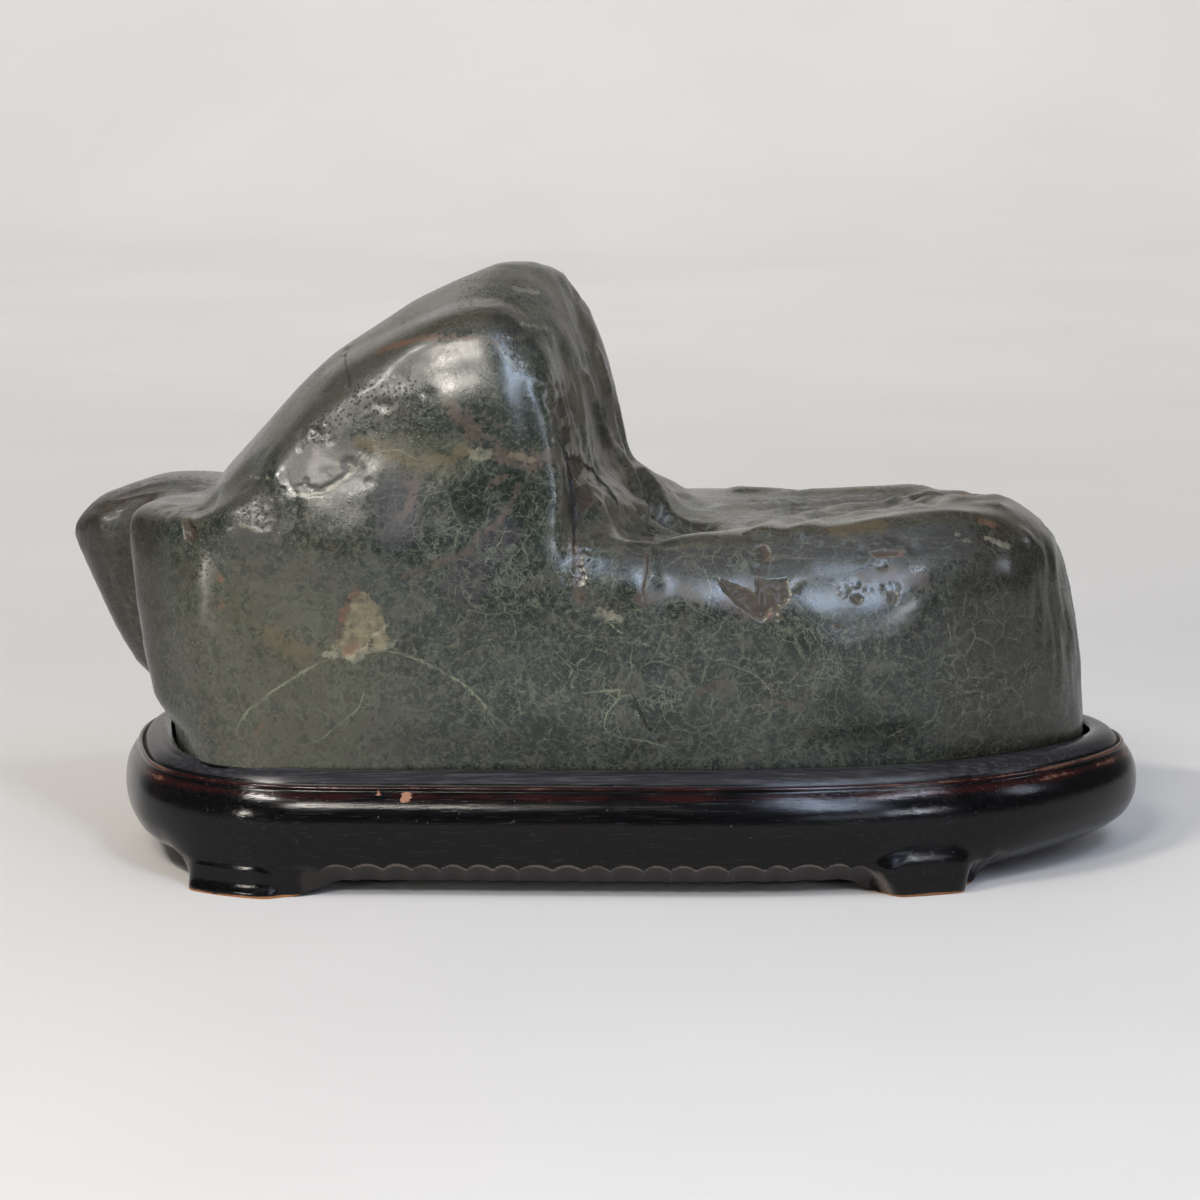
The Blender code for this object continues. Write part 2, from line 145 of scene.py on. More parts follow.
# Where the skin has flaked off: outline, depth, width of the broken edge, and whether rust
# has got into the floor since.
CHIPS = {
    "basin_lip": ([(-74, 97), (-70.5, 97.6), (-67, 96.6), (-63.5, 98.6), (-60, 101), (-57.6, 104),
        (-56.6, 101), (-59, 99), (-62.5, 97), (-65, 95.4), (-69, 94.4), (-73, 94.8)], 0.12, 0.6, False),
    "basin_left": ([(-84, 91.5), (-81.5, 92), (-79.3, 91), (-78.6, 88), (-80.5, 86),
        (-83.5, 87.5)], 0.15, 0.5, False),
    "triangle": ([(-60.5, 70.5), (-58, 72.5), (-55.5, 71.5), (-53, 68.5), (-51.5, 65), (-52.5, 62.5),
        (-55, 61.5), (-56, 59), (-58.5, 58), (-60, 56), (-63, 58), (-64.5, 59.5), (-62.5, 61.5),
        (-62, 65)], 0.35, 1.2, False),
    "bird": ([(26.4, 75.2), (29.5, 73.6), (33, 72.6), (35.4, 71.2), (35.6, 74.8), (38, 74.1),
        (42.8, 74.6), (43.7, 71), (42.4, 69.2), (40.9, 68.9), (40.6, 65), (39.3, 68.2), (37.1, 65.2),
        (35.4, 66), (33.6, 67.4), (30.6, 69.6), (28.2, 72.4)], 0.7, 0.35, True),
    "white_pit": ([(-101, 87), (-99, 88), (-96.8, 86.5), (-96.2, 84), (-98, 82),
        (-100, 83)], 1.6, 1.5, True),
    "pit_a": ([(57.5, 70.5), (59.5, 71), (60.7, 69.8), (59.5, 68.3), (58, 69)], 0.35, 0.5, True),
    "pit_b": ([(66.5, 71.5), (68.5, 71.7), (69.2, 69.7), (68.3, 68), (67, 69)], 0.3, 0.5, True),
    "pit_c": ([(53, 64), (55, 64.5), (55.7, 63.2), (54.3, 62.2)], 0.3, 0.5, True),
    "flake_a": ([(-11.7, 116.7), (-9.3, 115.7), (-8.9, 112), (-10.8, 110.4),
        (-12, 113.8)], 0.5, 0.6, True),
    "flake_b": ([(-10.8, 110), (-8.2, 109), (-7.9, 105.2), (-9.6, 103.8),
        (-10.8, 106.6)], 0.6, 0.6, True),
    "flake_c": ([(-9.3, 102.8), (-6, 101.3), (-4.6, 98.3), (-6.5, 96.4), (-8.9, 98.3)], 0.5, 0.6, True),
    "flake_d": ([(-7.5, 95.4), (-4.1, 95.9), (-2.3, 92.2), (-5.1, 89.4), (-7, 91.7)], 0.5, 0.6, True),
    "flake_e": ([(-7.9, 79.7), (-6, 80.7), (-4.6, 76.4), (-6.5, 72.6), (-7.9, 75.9)], 0.25, 0.8, False),
    "streak": ([(62.5, 80), (66, 80.6), (71.5, 80), (69, 79), (64.5, 78.8)], 0.1, 0.8, True),
    "lip_nick": ([(36, 81.5), (37.8, 82), (39.2, 80.2), (38, 78.4), (36.8, 78.8)], 0.4, 0.6, True),
}
# Fine open cracks, which run out at both ends: line, half width, depth.
CRACKS = {
    "ridge": ([(-13.5, 119.5), (-12.6, 116), (-12, 112), (-10.7, 107), (-9.4, 103), (-8.4, 98),
        (-7.4, 92), (-7.2, 88), (-7.5, 82.5), (-6.5, 76.5)], 0.5, 0.6),
    "ridge_side": ([(-6.5, 100.5), (-5, 99), (-3, 96.5), (-1.5, 94.5), (1.5, 92), (3, 89.5),
        (4, 87.5)], 0.6, 0.6),
    "low": ([(5.5, 49.5), (7.5, 44.5), (10, 40.5), (12, 37)], 0.45, 0.5),
    "high": ([(-62.5, 127), (-62, 124.5), (-61, 121.5), (-60, 117.5)], 0.4, 0.3),
    "basin": ([(-70.5, 111), (-68, 110), (-65.5, 108.7)], 0.4, 0.4),
    "lip": ([(10.5, 82), (10, 78), (9.5, 74), (8.7, 69)], 0.45, 0.3),
    "middle": ([(31, 62), (32.5, 57), (33, 50), (35, 44)], 0.35, 0.2),
}
# Pale calcite veins, flush with the skin: line, half width.
VEINS = {
    "arch_left": ([(-88.5, 35), (-87, 40), (-84.5, 43.5), (-81.5, 46), (-78, 49), (-74.5, 51),
        (-71, 53.5), (-67.5, 55.5), (-63, 57)], 0.32),
    "arch_right": ([(-57, 58), (-52, 58.5), (-48.5, 58), (-42.5, 56), (-39, 54), (-34, 51), (-29.5, 47),
        (-27.5, 44.5), (-26.5, 41.5), (-22.5, 35), (-19.5, 31)], 0.34),
    "low_left": ([(-72.5, 34.5), (-67, 37), (-62, 41.5), (-59, 44), (-55, 46)], 0.22),
    "low_branch": ([(-60, 42), (-57.5, 46), (-56.5, 51)], 0.2),
    "loop": ([(-10.5, 47), (-6, 48.5), (-1, 49), (3.5, 49.5), (3, 47), (1, 45), (0, 43), (-0.5, 39.5),
        (3.5, 37.5), (8, 37), (13, 35.5), (17.5, 34)], 0.26),
    "wander": ([(-2, 70.5), (0, 66), (2.5, 63.5), (8, 61), (13, 58.5), (17, 57), (20, 58),
        (22.5, 61)], 0.26),
    "branch": ([(27, 56), (34, 53), (37, 51), (39, 48.5), (40.5, 41.5)], 0.22),
    "fall": ([(22.5, 79), (25, 72.5), (23.5, 65.5), (25, 58.5)], 0.14),
    "band": ([(-59, 102.5), (-53, 105), (-48.5, 105.5), (-45, 103.5), (-40.5, 101)], 0.16),
    "peak": ([(-26, 130.5), (-24.5, 128.5), (-23, 126), (-20, 123.5)], 0.3),
    "middle": ([(-20, 98.5), (-22, 91.5), (-24.5, 84.5), (-28, 80), (-32, 71), (-33, 61.5)], 0.16),
    "short": ([(-41, 78), (-40.5, 71), (-41, 66)], 0.13),
    "low_right": ([(65.5, 35), (72.5, 38.5), (80, 39.5)], 0.2),
    "right": ([(84.5, 77.5), (79.5, 69), (82.5, 59), (77.5, 47)], 0.14),
}
# Stains, by kind: half width, and the line it follows. A line of one point is a spot.
# Points of three numbers are places in space, for stains that don't face the front.
STAINS = {
    "brown": [
        (2.4, [(-35, 114.5), (-30, 109)]), (2.6, [(-24.5, 105), (-17.5, 102.5), (-12.5, 103.5)]),
        (1.2, [(-45, 98.5), (-45.5, 94), (-47.5, 90.5)]), (0.8, [(-39, 80), (-32, 82)]),
        (1, [(-91.5, 35.5), (-90.5, 33.5)]), (0.9, [(-27, 98), (-23, 99.5)]),
        (0.8, [(10, 81), (9.5, 77.5), (9, 72)]), (1.8, [(8, 70.5), (17.5, 72.5), (22, 70.5)]),
        (1.2, [(22.5, 49), (28.5, 50.5)]), (1, [(41.5, 46), (46, 44.5)]),
        (0.9, [(36, 75.5), (36.5, 72.5)]), (1.9, [(62, 75), (70, 75), (76, 73)]),
        (1.5, [(-10.5, 116), (-9.3, 110), (-8.3, 104.5)]), (2, [(-7, 99), (-5, 92.5)]),
        (1.2, [(-8, 84), (-6.5, 77.5), (-6, 70.5)]), (3.5, [(31, 70), (40, 69)]),
        (0.8, [(-48, 76), (-36, 80), (-24, 90), (-20, 97)]), (0.7, [(-101, 96), (-97, 99), (-90, 101)]),
        (1.1, [(-62.5, 62), (-61.5, 68), (-58.5, 73)]),
    ],
    "tan": [
        (0.8, [(-10.4, 115), (-9.8, 112)]), (0.9, [(-8.8, 107.5), (-7.8, 104.5)]),
        (3.4, [(-58, 69.5), (-57.5, 62)]), (2, [(-54, 64), (-53, 61)]), (0.9, [(-5.5, 99), (-5, 94)]),
        (0.9, [(-22, 104.5), (-17, 103)]),
    ],
    "ochre": [
        (1.7, [(-57.5, 107), (-50.5, 104.5), (-43.5, 102.5), (-37.5, 103.5), (-32.5, 105.5)]),
        (2.6, [(-80, 62), (-72, 58)]), (1.2, [(54, 84.5), (66, 85.5)]),
    ],
    "rust": [
        (1, [(-91, 75.5), (-90.7, 73.5)]), (0.9, [(-90.5, 69.5), (-91, 68.3)]),
        (0.7, [(-82, 40.5), (-82.5, 37)]), (1.4, [(-61.5, 58), (-59.5, 59.5)]),
        (0.9, [(-62, 66), (-60.5, 70.5), (-58, 72.5)]), (0.8, [(64, 79.4), (70.5, 79.7)]),
        (0.9, [(37.2, 81), (38, 79.5)]), (0.7, [(90, 85.5), (94, 84)]),
        (0.9, [(-99.2, 85), (-98.4, 83.4)]), (0.9, [(37, 67.3), (38.2, 66.5)]),
        (0.7, [(-5, 94), (-4, 91)]),
        (0.8, [(-54, 127), (-48.5, 129.5), (-42.5, 131), (-36.5, 131.5), (-30.5, 131), (-25, 130)]),
        (3, [(23, -17, 83), (28, -21, 83)]), (1.4, [(-121, 9, 85.5), (-114, 8, 87.5)]),
    ],
    "pale": [
        (1.6, [(-31, 104.5), (-27.5, 104.5)]), (1.2, [(-2, 68), (3, 66)]),
        (0.9, [(-66, 57.5), (-62, 57.5), (-59, 56), (-56, 59), (-50, 60)]),
        (0.6, [(91, 82), (97, 79.5)]), (0.4, [(-84, 98), (-79, 98.5)]),
        # The first stain on the next line is the basin's lower lip: a painted highlight along its edge,
        # not a pale fleck.
        (0.5, [(-72, 95), (-67, 95.2), (-62, 98), (-58, 101.5)]), (0.5, [(84, 83), (87, 81.5)]),
        (0.7, [(-85.5, 88), (-82, 86.5)]), (0.5, [(-20, 134), (-14, 132)]),
        (0.4, [(-22, 141), (-16, 139.5)]),
    ],
    "umber": [
        (3.6, [(8, 81.5), (22.5, 79), (36.5, 79), (60.5, 81), (85, 82)]),
        (8, [(12, -10, 84), (22, -14, 82.5)]), (4.5, [(10, 2, 92), (14, -4, 87)]),
        (9, [(-118, 5, 80), (-112, -5, 62)]), (10, [(-126, 14, 84), (-106, 12, 91)]),
        (3, [(-2, -10, 110), (4, -6, 98)]), (3, [(82, 6, 86), (91, 14, 87)]),
        (4, [(-24, 134), (-20, 130)]), (1.4, [(-9, 100), (-7, 88)]),
    ],
    "plum": [
        (6, [(-50, 95), (-48, 88)]), (4, [(-82.5, 92), (-82, 87)]), (6, [(-70, 103), (-62, 101)]),
        (5, [(-34, 74), (-24, 86)]),
    ],
    "deep": [
        (3.6, [(-33, 95.5), (-31, 93)]), (3.8, [(-20, 95.5), (-18, 91)]), (2, [(-29, 97.5), (-22, 99)]),
        (3, [(6, 74)]), (4, [(13, 44), (18, 42)]), (3, [(-14, 40), (-10, 38)]),
        (4, [(54, 45), (60, 42)]), (2.5, [(44, 60), (47, 57)]), (3, [(-2, 58)]),
    ],
    "speckle": [
        (5.5, [(-60, 117), (-48.5, 115)]), (3.5, [(-66, 118), (-69, 110)]), (3, [(-92, 88), (-98, 78)]),
        (1.2, [(36, 77)]), (4.5, [(-30, 139), (-14, 134)]), (3, [(-22, 131), (-16, 126)]),
        (4, [(-86, 94), (-78, 90)]),
    ],
    "matt": [
        (8, [(-72, 106), (-62, 103)]), (6, [(-84, 94), (-81, 88)]),
        (6, [(-69, 110), (-56, 120), (-45, 128)]),
    ],
    "olive": [
        (24, [(-72, 40), (-80, 58)]), (5, [(-52, 105), (-36, 103)]),
    ],
    "net": [
        (22, [(-8, 55), (24, 55)]), (18, [(44, 50)]), (14, [(-22, 76)]), (13, [(88, 48)]),
        (9, [(-34, 88)]),
    ],
}
# Rough broken skin: line, half width, how uneven.
BROKEN = [
    ([(-11, -46, 116), (-8.5, -47, 104), (-5, -45, 93), (-6, -49, 78)], 3, 0.25),
    ([(-104, -22, 88), (-99, -30, 78)], 5.5, 0.35), ([(12, -10, 84), (22, -12, 83)], 5, 0.4),
    ([(-66, -42, 102), (-60, -43, 103)], 6, 0.04), ([(-84, -42, 91), (-81, -42, 90)], 5, 0.05),
    ([(-60, -38, 114), (-50, -40, 112)], 8, 0.05), ([(-26, -30, 141), (-14, -30, 135)], 5, 0.14),
    ([(-122, 8, 86), (-104, 4, 90)], 7, 0.25), ([(-120, 0, 76), (-112, -4, 56)], 8, 0.1),
    ([(-60, 46, 84), (-40, 49, 66)], 9, 0.18), ([(60, 44, 74), (84, 38, 62)], 9, 0.15),
]
# Ridges between the flutes on the peak's right side, and other crests: line in X, Y and Z,
# half width, height.
CRESTS = [
    ([(-4.7, -12.7, 118.4), (-1.3, -7.7, 106), (1.7, -0.5, 100), (4.6, 4.4, 96), (7.1, 0.4, 92.5),
     (9, -5, 88), (9.1, -18.5, 86)], 1.7, 1.5),
    ([(-1.8, 0.6, 123), (1.2, 2.5, 111), (2.7, 4, 103.5), (3.9, 5.3, 98.3)], 1.4, 1),
    ([(9.5, 8, 93), (11.5, 5.9, 91), (14.1, 3.3, 88), (14.5, -2, 86), (13.4, -7.5, 84.8)], 1.5, 1),
    ([(-12, -34, 119), (-6, -31, 109), (0, -29, 99), (5, -29, 91)], 2, 0.7),
    ([(13, 8, 95), (22, 6, 88), (34, 4, 85)], 2.6, 0.8),
    ([(-78, -44, 99), (-75, -46, 93), (-76, -48, 86)], 1.8, 0.5),
    ([(96, -27, 86.5), (101, -22, 84), (104.5, -18, 76), (107, -16, 68), (109, -14, 56)], 1.8, 0.8),
    ([(-127, 12, 84), (-118, 6, 87), (-107, 6, 89.5), (-101, 4, 92)], 1.6, 0.9),
    ([(-122, 14, 86), (-112, 16, 89), (-104, 18, 91)], 1.4, 0.6),
    ([(36.8, -35.9, 84.8), (44, -18, 84), (53.2, 2.5, 83.2), (61, 10, 83.4), (68.8, 14.5, 83.7),
     (78, 6, 85.5), (87, -6.2, 87.5)], 2.6, 0.9),
    ([(46.3, -36.7, 84.9), (53, -25, 84.7), (59.6, -13.8, 84.5), (66, -7, 84.6), (72.7, -1.2, 84.8),
     (80, -14, 86.5)], 2.4, 0.8),
    ([(34.5, 34.6, 84), (49.7, 33.8, 83.6), (65, 32.9, 84.2), (79.6, 24.3, 86)], 3, 1),
]
# Narrower hollows than those of the drawing: line ends, half width, depth. A negative depth
# is a swelling.
GOUGES = [
    ((-71, -44, 102), (-61, -45, 102), 5.4, 0.35), ((-83.5, -42, 94), (-82, -43, 88), 3.6, 0.4),
    ((-68, -44, 98), (-58, -45, 96), 8, -0.6), ((-96, -30, 94), (-90, -38, 88), 3, 0.7),
    ((-104, -12, 90), (-98, -22, 90), 3, 0.8), ((-7, -26, 116), (0, -24, 100), 3, 1),
    ((-1, -4, 110), (4.5, -4, 99), 1.6, 0.9), ((3, 6, 108), (7, 8, 97), 1.8, 0.7),
    ((13, -9, 84), (22, -13, 83), 4.6, 5.4), ((22, -18, 84), (34, -16, 84), 3, 0.8),
    ((10, 2, 92), (12, -6, 88), 3, 1.4), ((16, 20, 92), (22, 10, 87), 4, 1.4),
    ((78, 10, 86), (92, 18, 87), 2.2, 1.5), ((88, 30, 87), (97, 16, 86), 2.2, 0.9),
    ((18, 13, 87), (40, 22, 84), 1.4, 0.8), ((20, 26, 87), (50, 35, 84), 1.6, 0.8),
    ((-125, 12, 88), (-112, 14, 91), 2.4, 0.7), ((-126, 6, 76), (-119, 4, 56), 2.6, 0.6),
    ((-60, 46, 84), (-40, 49, 72), 5, 1.4), ((20, 51, 70), (40, 50, 56), 4, 1.2),
    ((98, 18, 66), (108, 4, 50), 4, 0.8), ((-96, 36, 74), (-86, 42, 56), 4, 1.2),
    ((-34, -44, 116), (-26, -44, 117), 9, -1.7), ((-15, -41, 120), (-9.5, -46, 96), 4.4, -1.2),
    ((56, -47, 55), (62, -46, 54), 14, -2.8), ((-36, 50, 40), (10, 53, 36), 8, -1.2),
    ((-20, 30, 128), (-40, 28, 118), 5, 1.2),
]
# The rounds in which the grid is made finer: how near to a mark, and how broken the skin.
FINER = [(3.0, 0.15), (1.6, 2.0)]
# How a chip's edge frays and how uneven its floor is, in layers: width, seed, size.
CHIP_FRAY = [(2.6, 3, 0.3), (1.1, 4, 0.25)]
CHIP_FLOOR = [(1.8, 5, 0.4)]
CRACK_WOBBLE = [(3.0, 6, 0.5), (3.0, 8, 0.5)]  # sideways, then up and down
# The flakes of broken skin, in layers: width, seed, height. They lie about their middle.
CRUMBS = [(3.4, 16, 1.0), (1.7, 17, 0.5)]
CRUMB_MIDDLE = 0.75
CRUMB_EDGE = (-0.08, 0.12)
# The ripples that the water left on the shelf: arcs about a point in plan, bent by noise,
# which set in and run out along X and along Y.
RIPPLE_CENTRE = (103.0, -90.0)
RIPPLE_PITCH = 11.0
RIPPLE_HEIGHT = 1.4
RIPPLE_BEND = 7.0
RIPPLE_BEND_WIDTH = 24.0
RIPPLE_LEFT, RIPPLE_RIGHT = (14, 34), (94, 103)
RIPPLE_FRONT, RIPPLE_BACK = (-38, -24), (16, 30)
# Fine flutes down the steep right sides: how wide, how long, how deep.
FLUTE_WIDTH = 2.6
FLUTE_LENGTH = 26.0
FLUTE_DEPTH = 0.5
PIT_SEED = 7
PIT_COUNT = 1400
PIT_SIZES = (0.8, 2.0)
PIT_SLOPE = 0.13  # depth for its size
PIT_CROWD = 24.0  # width of the crowded places
# Where the skin of the ends and of the peak's right flank sets in and runs out along X.
RIGHT_END, LEFT_END = (62, 100), (-98, -112)
FLANK_LEFT, FLANK_RIGHT = (-20, -8), (36, 22)
FACES_FRONT = 0.2  # least share of facing the front that a mark on it needs
FAR = 20.0  # stands for no mark near, in millimetres


# ==== Shapes ========================================================================


def metres(points):
    return np.asarray(points, float) * MM


def smoothstep(low, high, value):
    share = np.clip((np.asarray(value, float) - low) / (high - low), 0.0, 1.0)
    return share * share * (3.0 - 2.0 * share)


def between(a, b, c, d, share):
    """The point this share of the way from b to c, on the smooth line through all four."""
    return 0.5 * (2 * b + (c - a) * share + (2 * a - 5 * b + 4 * c - d) * share**2
                  + (3 * b - a - 3 * c + d) * share**3)


def eased(points, per_step):
    """A smooth open line through these points."""
    points = np.array(points, float)
    padded = np.vstack([2 * points[0] - points[1], points, 2 * points[-1] - points[-2]])
    line = [between(*four, share) for four in zip(padded, padded[1:], padded[2:], padded[3:])
            for share in np.arange(per_step) / per_step]
    return np.array(line + [points[-1]])


def evenly(ring, step):
    """Points at an even step along this closed line, how far along it each one is, and the
    line's whole length."""
    ring = np.vstack([ring, ring[:1]])
    run = np.concatenate([[0.0], np.cumsum(np.linalg.norm(np.diff(ring, axis=0), axis=1))])
    even = np.linspace(0.0, run[-1], round(run[-1] / step), endpoint=False)
    line = np.stack([np.interp(even, run, ring[:, axis]) for axis in (0, 1)], axis=1)
    return line, even, run[-1]


def closed_curve(points, smoothing=5.0, step=0.5):
    """A smooth closed line through these plan points, at an even step."""
    points = np.array(points, float)
    before, after, later = (np.roll(points, shift, axis=0) for shift in (1, -1, -2))
    parts = [between(before, points, after, later, share) for share in np.arange(0.0, 1.0, 0.02)]
    line, _, length = evenly(np.stack(parts, axis=1).reshape(-1, 2), step)
    waves = np.fft.fftfreq(len(line), length / len(line))
    fade = np.exp(-2.0 * (math.pi * smoothing * waves) ** 2)[:, None]
    return np.real(np.fft.ifft(np.fft.fft(line, axis=0) * fade, axis=0))


BEAD = closed_curve(BEAD_OUTLINE)
SEAT = closed_curve(SEAT_OUTLINE, smoothing=4.0)
# From the drawing's axes to the frame's, in millimetres.
SHIFT = np.array([
    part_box("stand")[1].x / MM - BEAD[:, 0].max() - BELLY_REACH,
    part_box("stand")[1].y / MM - BEAD[:, 1].max() - BELLY_REACH,
    0.0,
])


def direction(x, y):
    return np.mod(np.arctan2(y, x), 2 * math.pi)


def seat_radius(angle):
    """The seat outline's distance from the origin of the drawing in this direction."""
    angles = direction(SEAT[:, 0], SEAT[:, 1])
    order = np.argsort(angles)
    radii = np.hypot(SEAT[:, 0], SEAT[:, 1])[order]
    return np.interp(angle, angles[order], radii, period=2 * math.pi)


def new_object(name, mesh):
    obj = bpy.data.objects.new(name, mesh)
    bpy.context.scene.collection.objects.link(obj)
    return obj


def mesh_of(name, shape):
    """A mesh with this bmesh's shape, which is used up."""
    mesh = bpy.data.meshes.new(name)
    shape.to_mesh(mesh)
    shape.free()
    return mesh


def apply_modifiers(obj):
    bpy.context.view_layer.update()
    graph = bpy.context.evaluated_depsgraph_get()
    frozen = bpy.data.meshes.new_from_object(obj.evaluated_get(graph))
    obj.modifiers.clear()
    obj.data = frozen


def grow_and_wear(obj, voxel_mm, passes):
    """Grows the object's shapes together on a grid, then wears the result round."""
    remesh = obj.modifiers.new("grow_together", "REMESH")
    remesh.mode = "VOXEL"
    remesh.voxel_size = voxel_mm * MM
    wear = obj.modifiers.new("wear", "SMOOTH")
    wear.factor = 0.5
    wear.iterations = passes
    apply_modifiers(obj)
    return obj


def mass(name, corners, passes):
    """One mass of the stone: the hull of its corners, worn round."""
    shape = bmesh.new()
    for corner in corners:
        shape.verts.new(metres(corner))
    bmesh.ops.convex_hull(shape, input=shape.verts)
    bmesh.ops.delete(shape, geom=[v for v in shape.verts if not v.link_faces], context="VERTS")
    return grow_and_wear(new_object(name, mesh_of(name, shape)), ROUGH_VOXEL, passes)


def joined(name, objects):
    shape = bmesh.new()
    for obj in objects:
        shape.from_mesh(obj.data)
        bpy.data.objects.remove(obj)
    return new_object(name, mesh_of(name, shape))


def read_points(mesh):
    """Vertex positions, in millimetres, and normals."""
    points = np.empty(len(mesh.vertices) * 3)
    mesh.vertices.foreach_get("co", points)
    normals = np.empty(len(mesh.vertices) * 3)
    mesh.vertices.foreach_get("normal", normals)
    return points.reshape(-1, 3) / MM, normals.reshape(-1, 3)


def write_points(mesh, points):
    mesh.vertices.foreach_set("co", metres(points).ravel())
    mesh.update()


def paint(mesh, name, values):
    """Keeps one number for each vertex, for the material to read."""
    mesh.attributes.new(name, "FLOAT", "POINT").data.foreach_set("value", np.asarray(values, np.float32))


def clouds(points, width, seed=0):
    """Smooth noise of about this width, from -1 to 1."""
    shift = Vector((11.3 * seed, 4.7, 2.9))
    return np.array([noise.noise(Vector(point) / width + shift) for point in points])


def layered(points, layers):
    """The sum of some noises: the width, the seed and the height of each."""
    return sum(height * clouds(points, width, seed) for width, seed, height in layers)


def distance_between(points, start, end):
    """The distance to the line between these ends, and how far along it the nearest spot
    is, 0 to 1."""
    along = np.subtract(end, start)
    share = np.clip((points - start) @ along / max(along @ along, 1e-9), 0.0, 1.0)
    return np.linalg.norm(points - start - share[:, None] * along, axis=1), share


def hollow(points, start, end, half_width):
    """1 along the line between these ends, falling to 0 beside it."""
    away = distance_between(points, start, end)[0] / half_width
    return np.clip(1.0 - (away / HOLLOW_SPREAD) ** 2, 0.0, 1.0) ** 2


def ridge(points, line, half_width):
    """1 along a line of several points, falling to 0 beside it."""
    return np.max([hollow(points, start, end, half_width) for start, end in zip(line, line[1:])], axis=0)


def line_distance(points, line):
    """The distance to a line of several points, or of one, and how far along it the nearest
    spot is, 0 to 1."""
    best = np.full(len(points), 1e9)
    share = np.zeros(len(points))
    run = 0.0
    for start, end in zip(line, line[1:] or line):
        away, along = distance_between(points, start, end)
        length = math.dist(start, end)
        share = np.where(away < best, run + along * length, share)
        best = np.minimum(best, away)
        run += length
    return best, share / max(run, 1e-9)


def side_of(flat, line):
    """1 on one side of this line of the plane, -1 on the other."""
    best = np.full(len(flat), 1e9)
    side = np.ones(len(flat))
    for start, end in zip(line, line[1:]):
        along = np.subtract(end, start)
        away, _ = distance_between(flat, start, end)
        across = along[0] * (flat[:, 1] - start[1]) - along[1] * (flat[:, 0] - start[0])
        side = np.where(away < best, np.sign(across), side)
        best = np.minimum(best, away)
    return side


def running_out(share):
    """1 along most of a line, falling to a fifth at both its ends."""
    return 0.2 + 0.8 * smoothstep(0.0, 0.25, np.minimum(share, 1.0 - share))


def outline_distance(flat, outline):
    """The distance to this closed outline, negative inside it."""
    ring = list(outline) + [outline[0]]
    away, _ = line_distance(flat, ring)
    inside = np.zeros(len(flat), bool)
    for (x0, z0), (x1, z1) in zip(ring, ring[1:]):
        if z0 == z1:
            continue
        crosses = (flat[:, 1] < max(z0, z1)) & (flat[:, 1] >= min(z0, z1))
        inside ^= crosses & (flat[:, 0] < x0 + (flat[:, 1] - z0) * (x1 - x0) / (z1 - z0))
    return np.where(inside, -away, away)


# ==== The stone =====================================================================


def fit_to_seat(points):
    """Draws in whatever would foul the seat's wall, and levels the stone's underside."""
    angle = direction(points[:, 0], points[:, 1])
    reach = np.hypot(points[:, 0], points[:, 1])
    limit = seat_radius(angle) - SEAT_GAP
    ease = smoothstep(0.0, SEAT_EASE, points[:, 2] - RIM_TOP)
    most = limit + np.maximum(reach - limit, 0.0) * ease
    points[:, :2] *= (np.minimum(reach, most) / np.maximum(reach, 1e-9))[:, None]
    points[:, 2] = np.maximum(points[:, 2], STONE_BASE)
    return points


def on_front(points, normals):
    """1 where a point faces the display side, 0 where it faces away or is the top."""
    return smoothstep(-0.02, 0.16, -normals[:, 1]) * (points[:, 1] < 0)


def split_near_marks(mesh, reach, least_broken):
    """Quarters the faces that lie near a chip or a crack, or in broken skin on the front,
    where the detail is finest."""
    points, normals = read_points(mesh)
    flat = points[:, [0, 2]]
    near = np.full(len(points), False)
    for outline, _, edge, _ in CHIPS.values():
        near |= np.abs(outline_distance(flat, outline)) < reach + 0.3 * edge
    for line, _, _ in CRACKS.values():
        near |= line_distance(flat, line)[0] < reach
    near |= broken_height(points)[1] > least_broken
    near &= on_front(points, normals) > FACES_FRONT
    shape = bmesh.new()
    shape.from_mesh(mesh)
    shape.verts.ensure_lookup_table()
    edges = {edge for face in shape.faces if any(near[v.index] for v in face.verts)
             for edge in face.edges}
    bmesh.ops.subdivide_edges(shape, edges=list(edges), cuts=1, use_grid_fill=True)
    bmesh.ops.triangulate(shape, faces=[face for face in shape.faces if len(face.verts) > 4])
    shape.to_mesh(mesh)
    shape.free()


def chip_depth(points, normals):
    """How far the skin is gone at each point, and the distance to the nearest rusty chip's
    edge."""
    flat = points[:, [0, 2]]
    front = on_front(points, normals)
    ragged = layered(points, CHIP_FRAY)
    floor = 1.0 + layered(points, CHIP_FLOOR)
    sunk = np.zeros(len(points))
    nearest = np.full(len(points), FAR)
    for outline, depth, edge, rusty in CHIPS.values():
        away = outline_distance(flat, outline) + ragged * min(1.0, 0.6 / edge)
        sunk = np.maximum(sunk, depth * floor * (1.0 - smoothstep(-edge, 0.25, away)))
        nearest = np.minimum(nearest, away) if rusty else nearest
    return sunk * front, np.where(front > FACES_FRONT, nearest, FAR)


def crack_depth(points, normals):
    """How deep the open cracks are: they wander a little, and taper to both ends."""
    flat = points[:, [0, 2]] + np.stack([layered(points, [layer]) for layer in CRACK_WOBBLE], axis=1)
    sunk = np.zeros(len(points))
    for line, width, depth in CRACKS.values():
        away, share = line_distance(flat, line)
        ease = running_out(share)
        sunk = np.maximum(sunk, depth * ease * np.clip(1.0 - away / (width * ease), 0.0, 1.0))
    return sunk * on_front(points, normals)


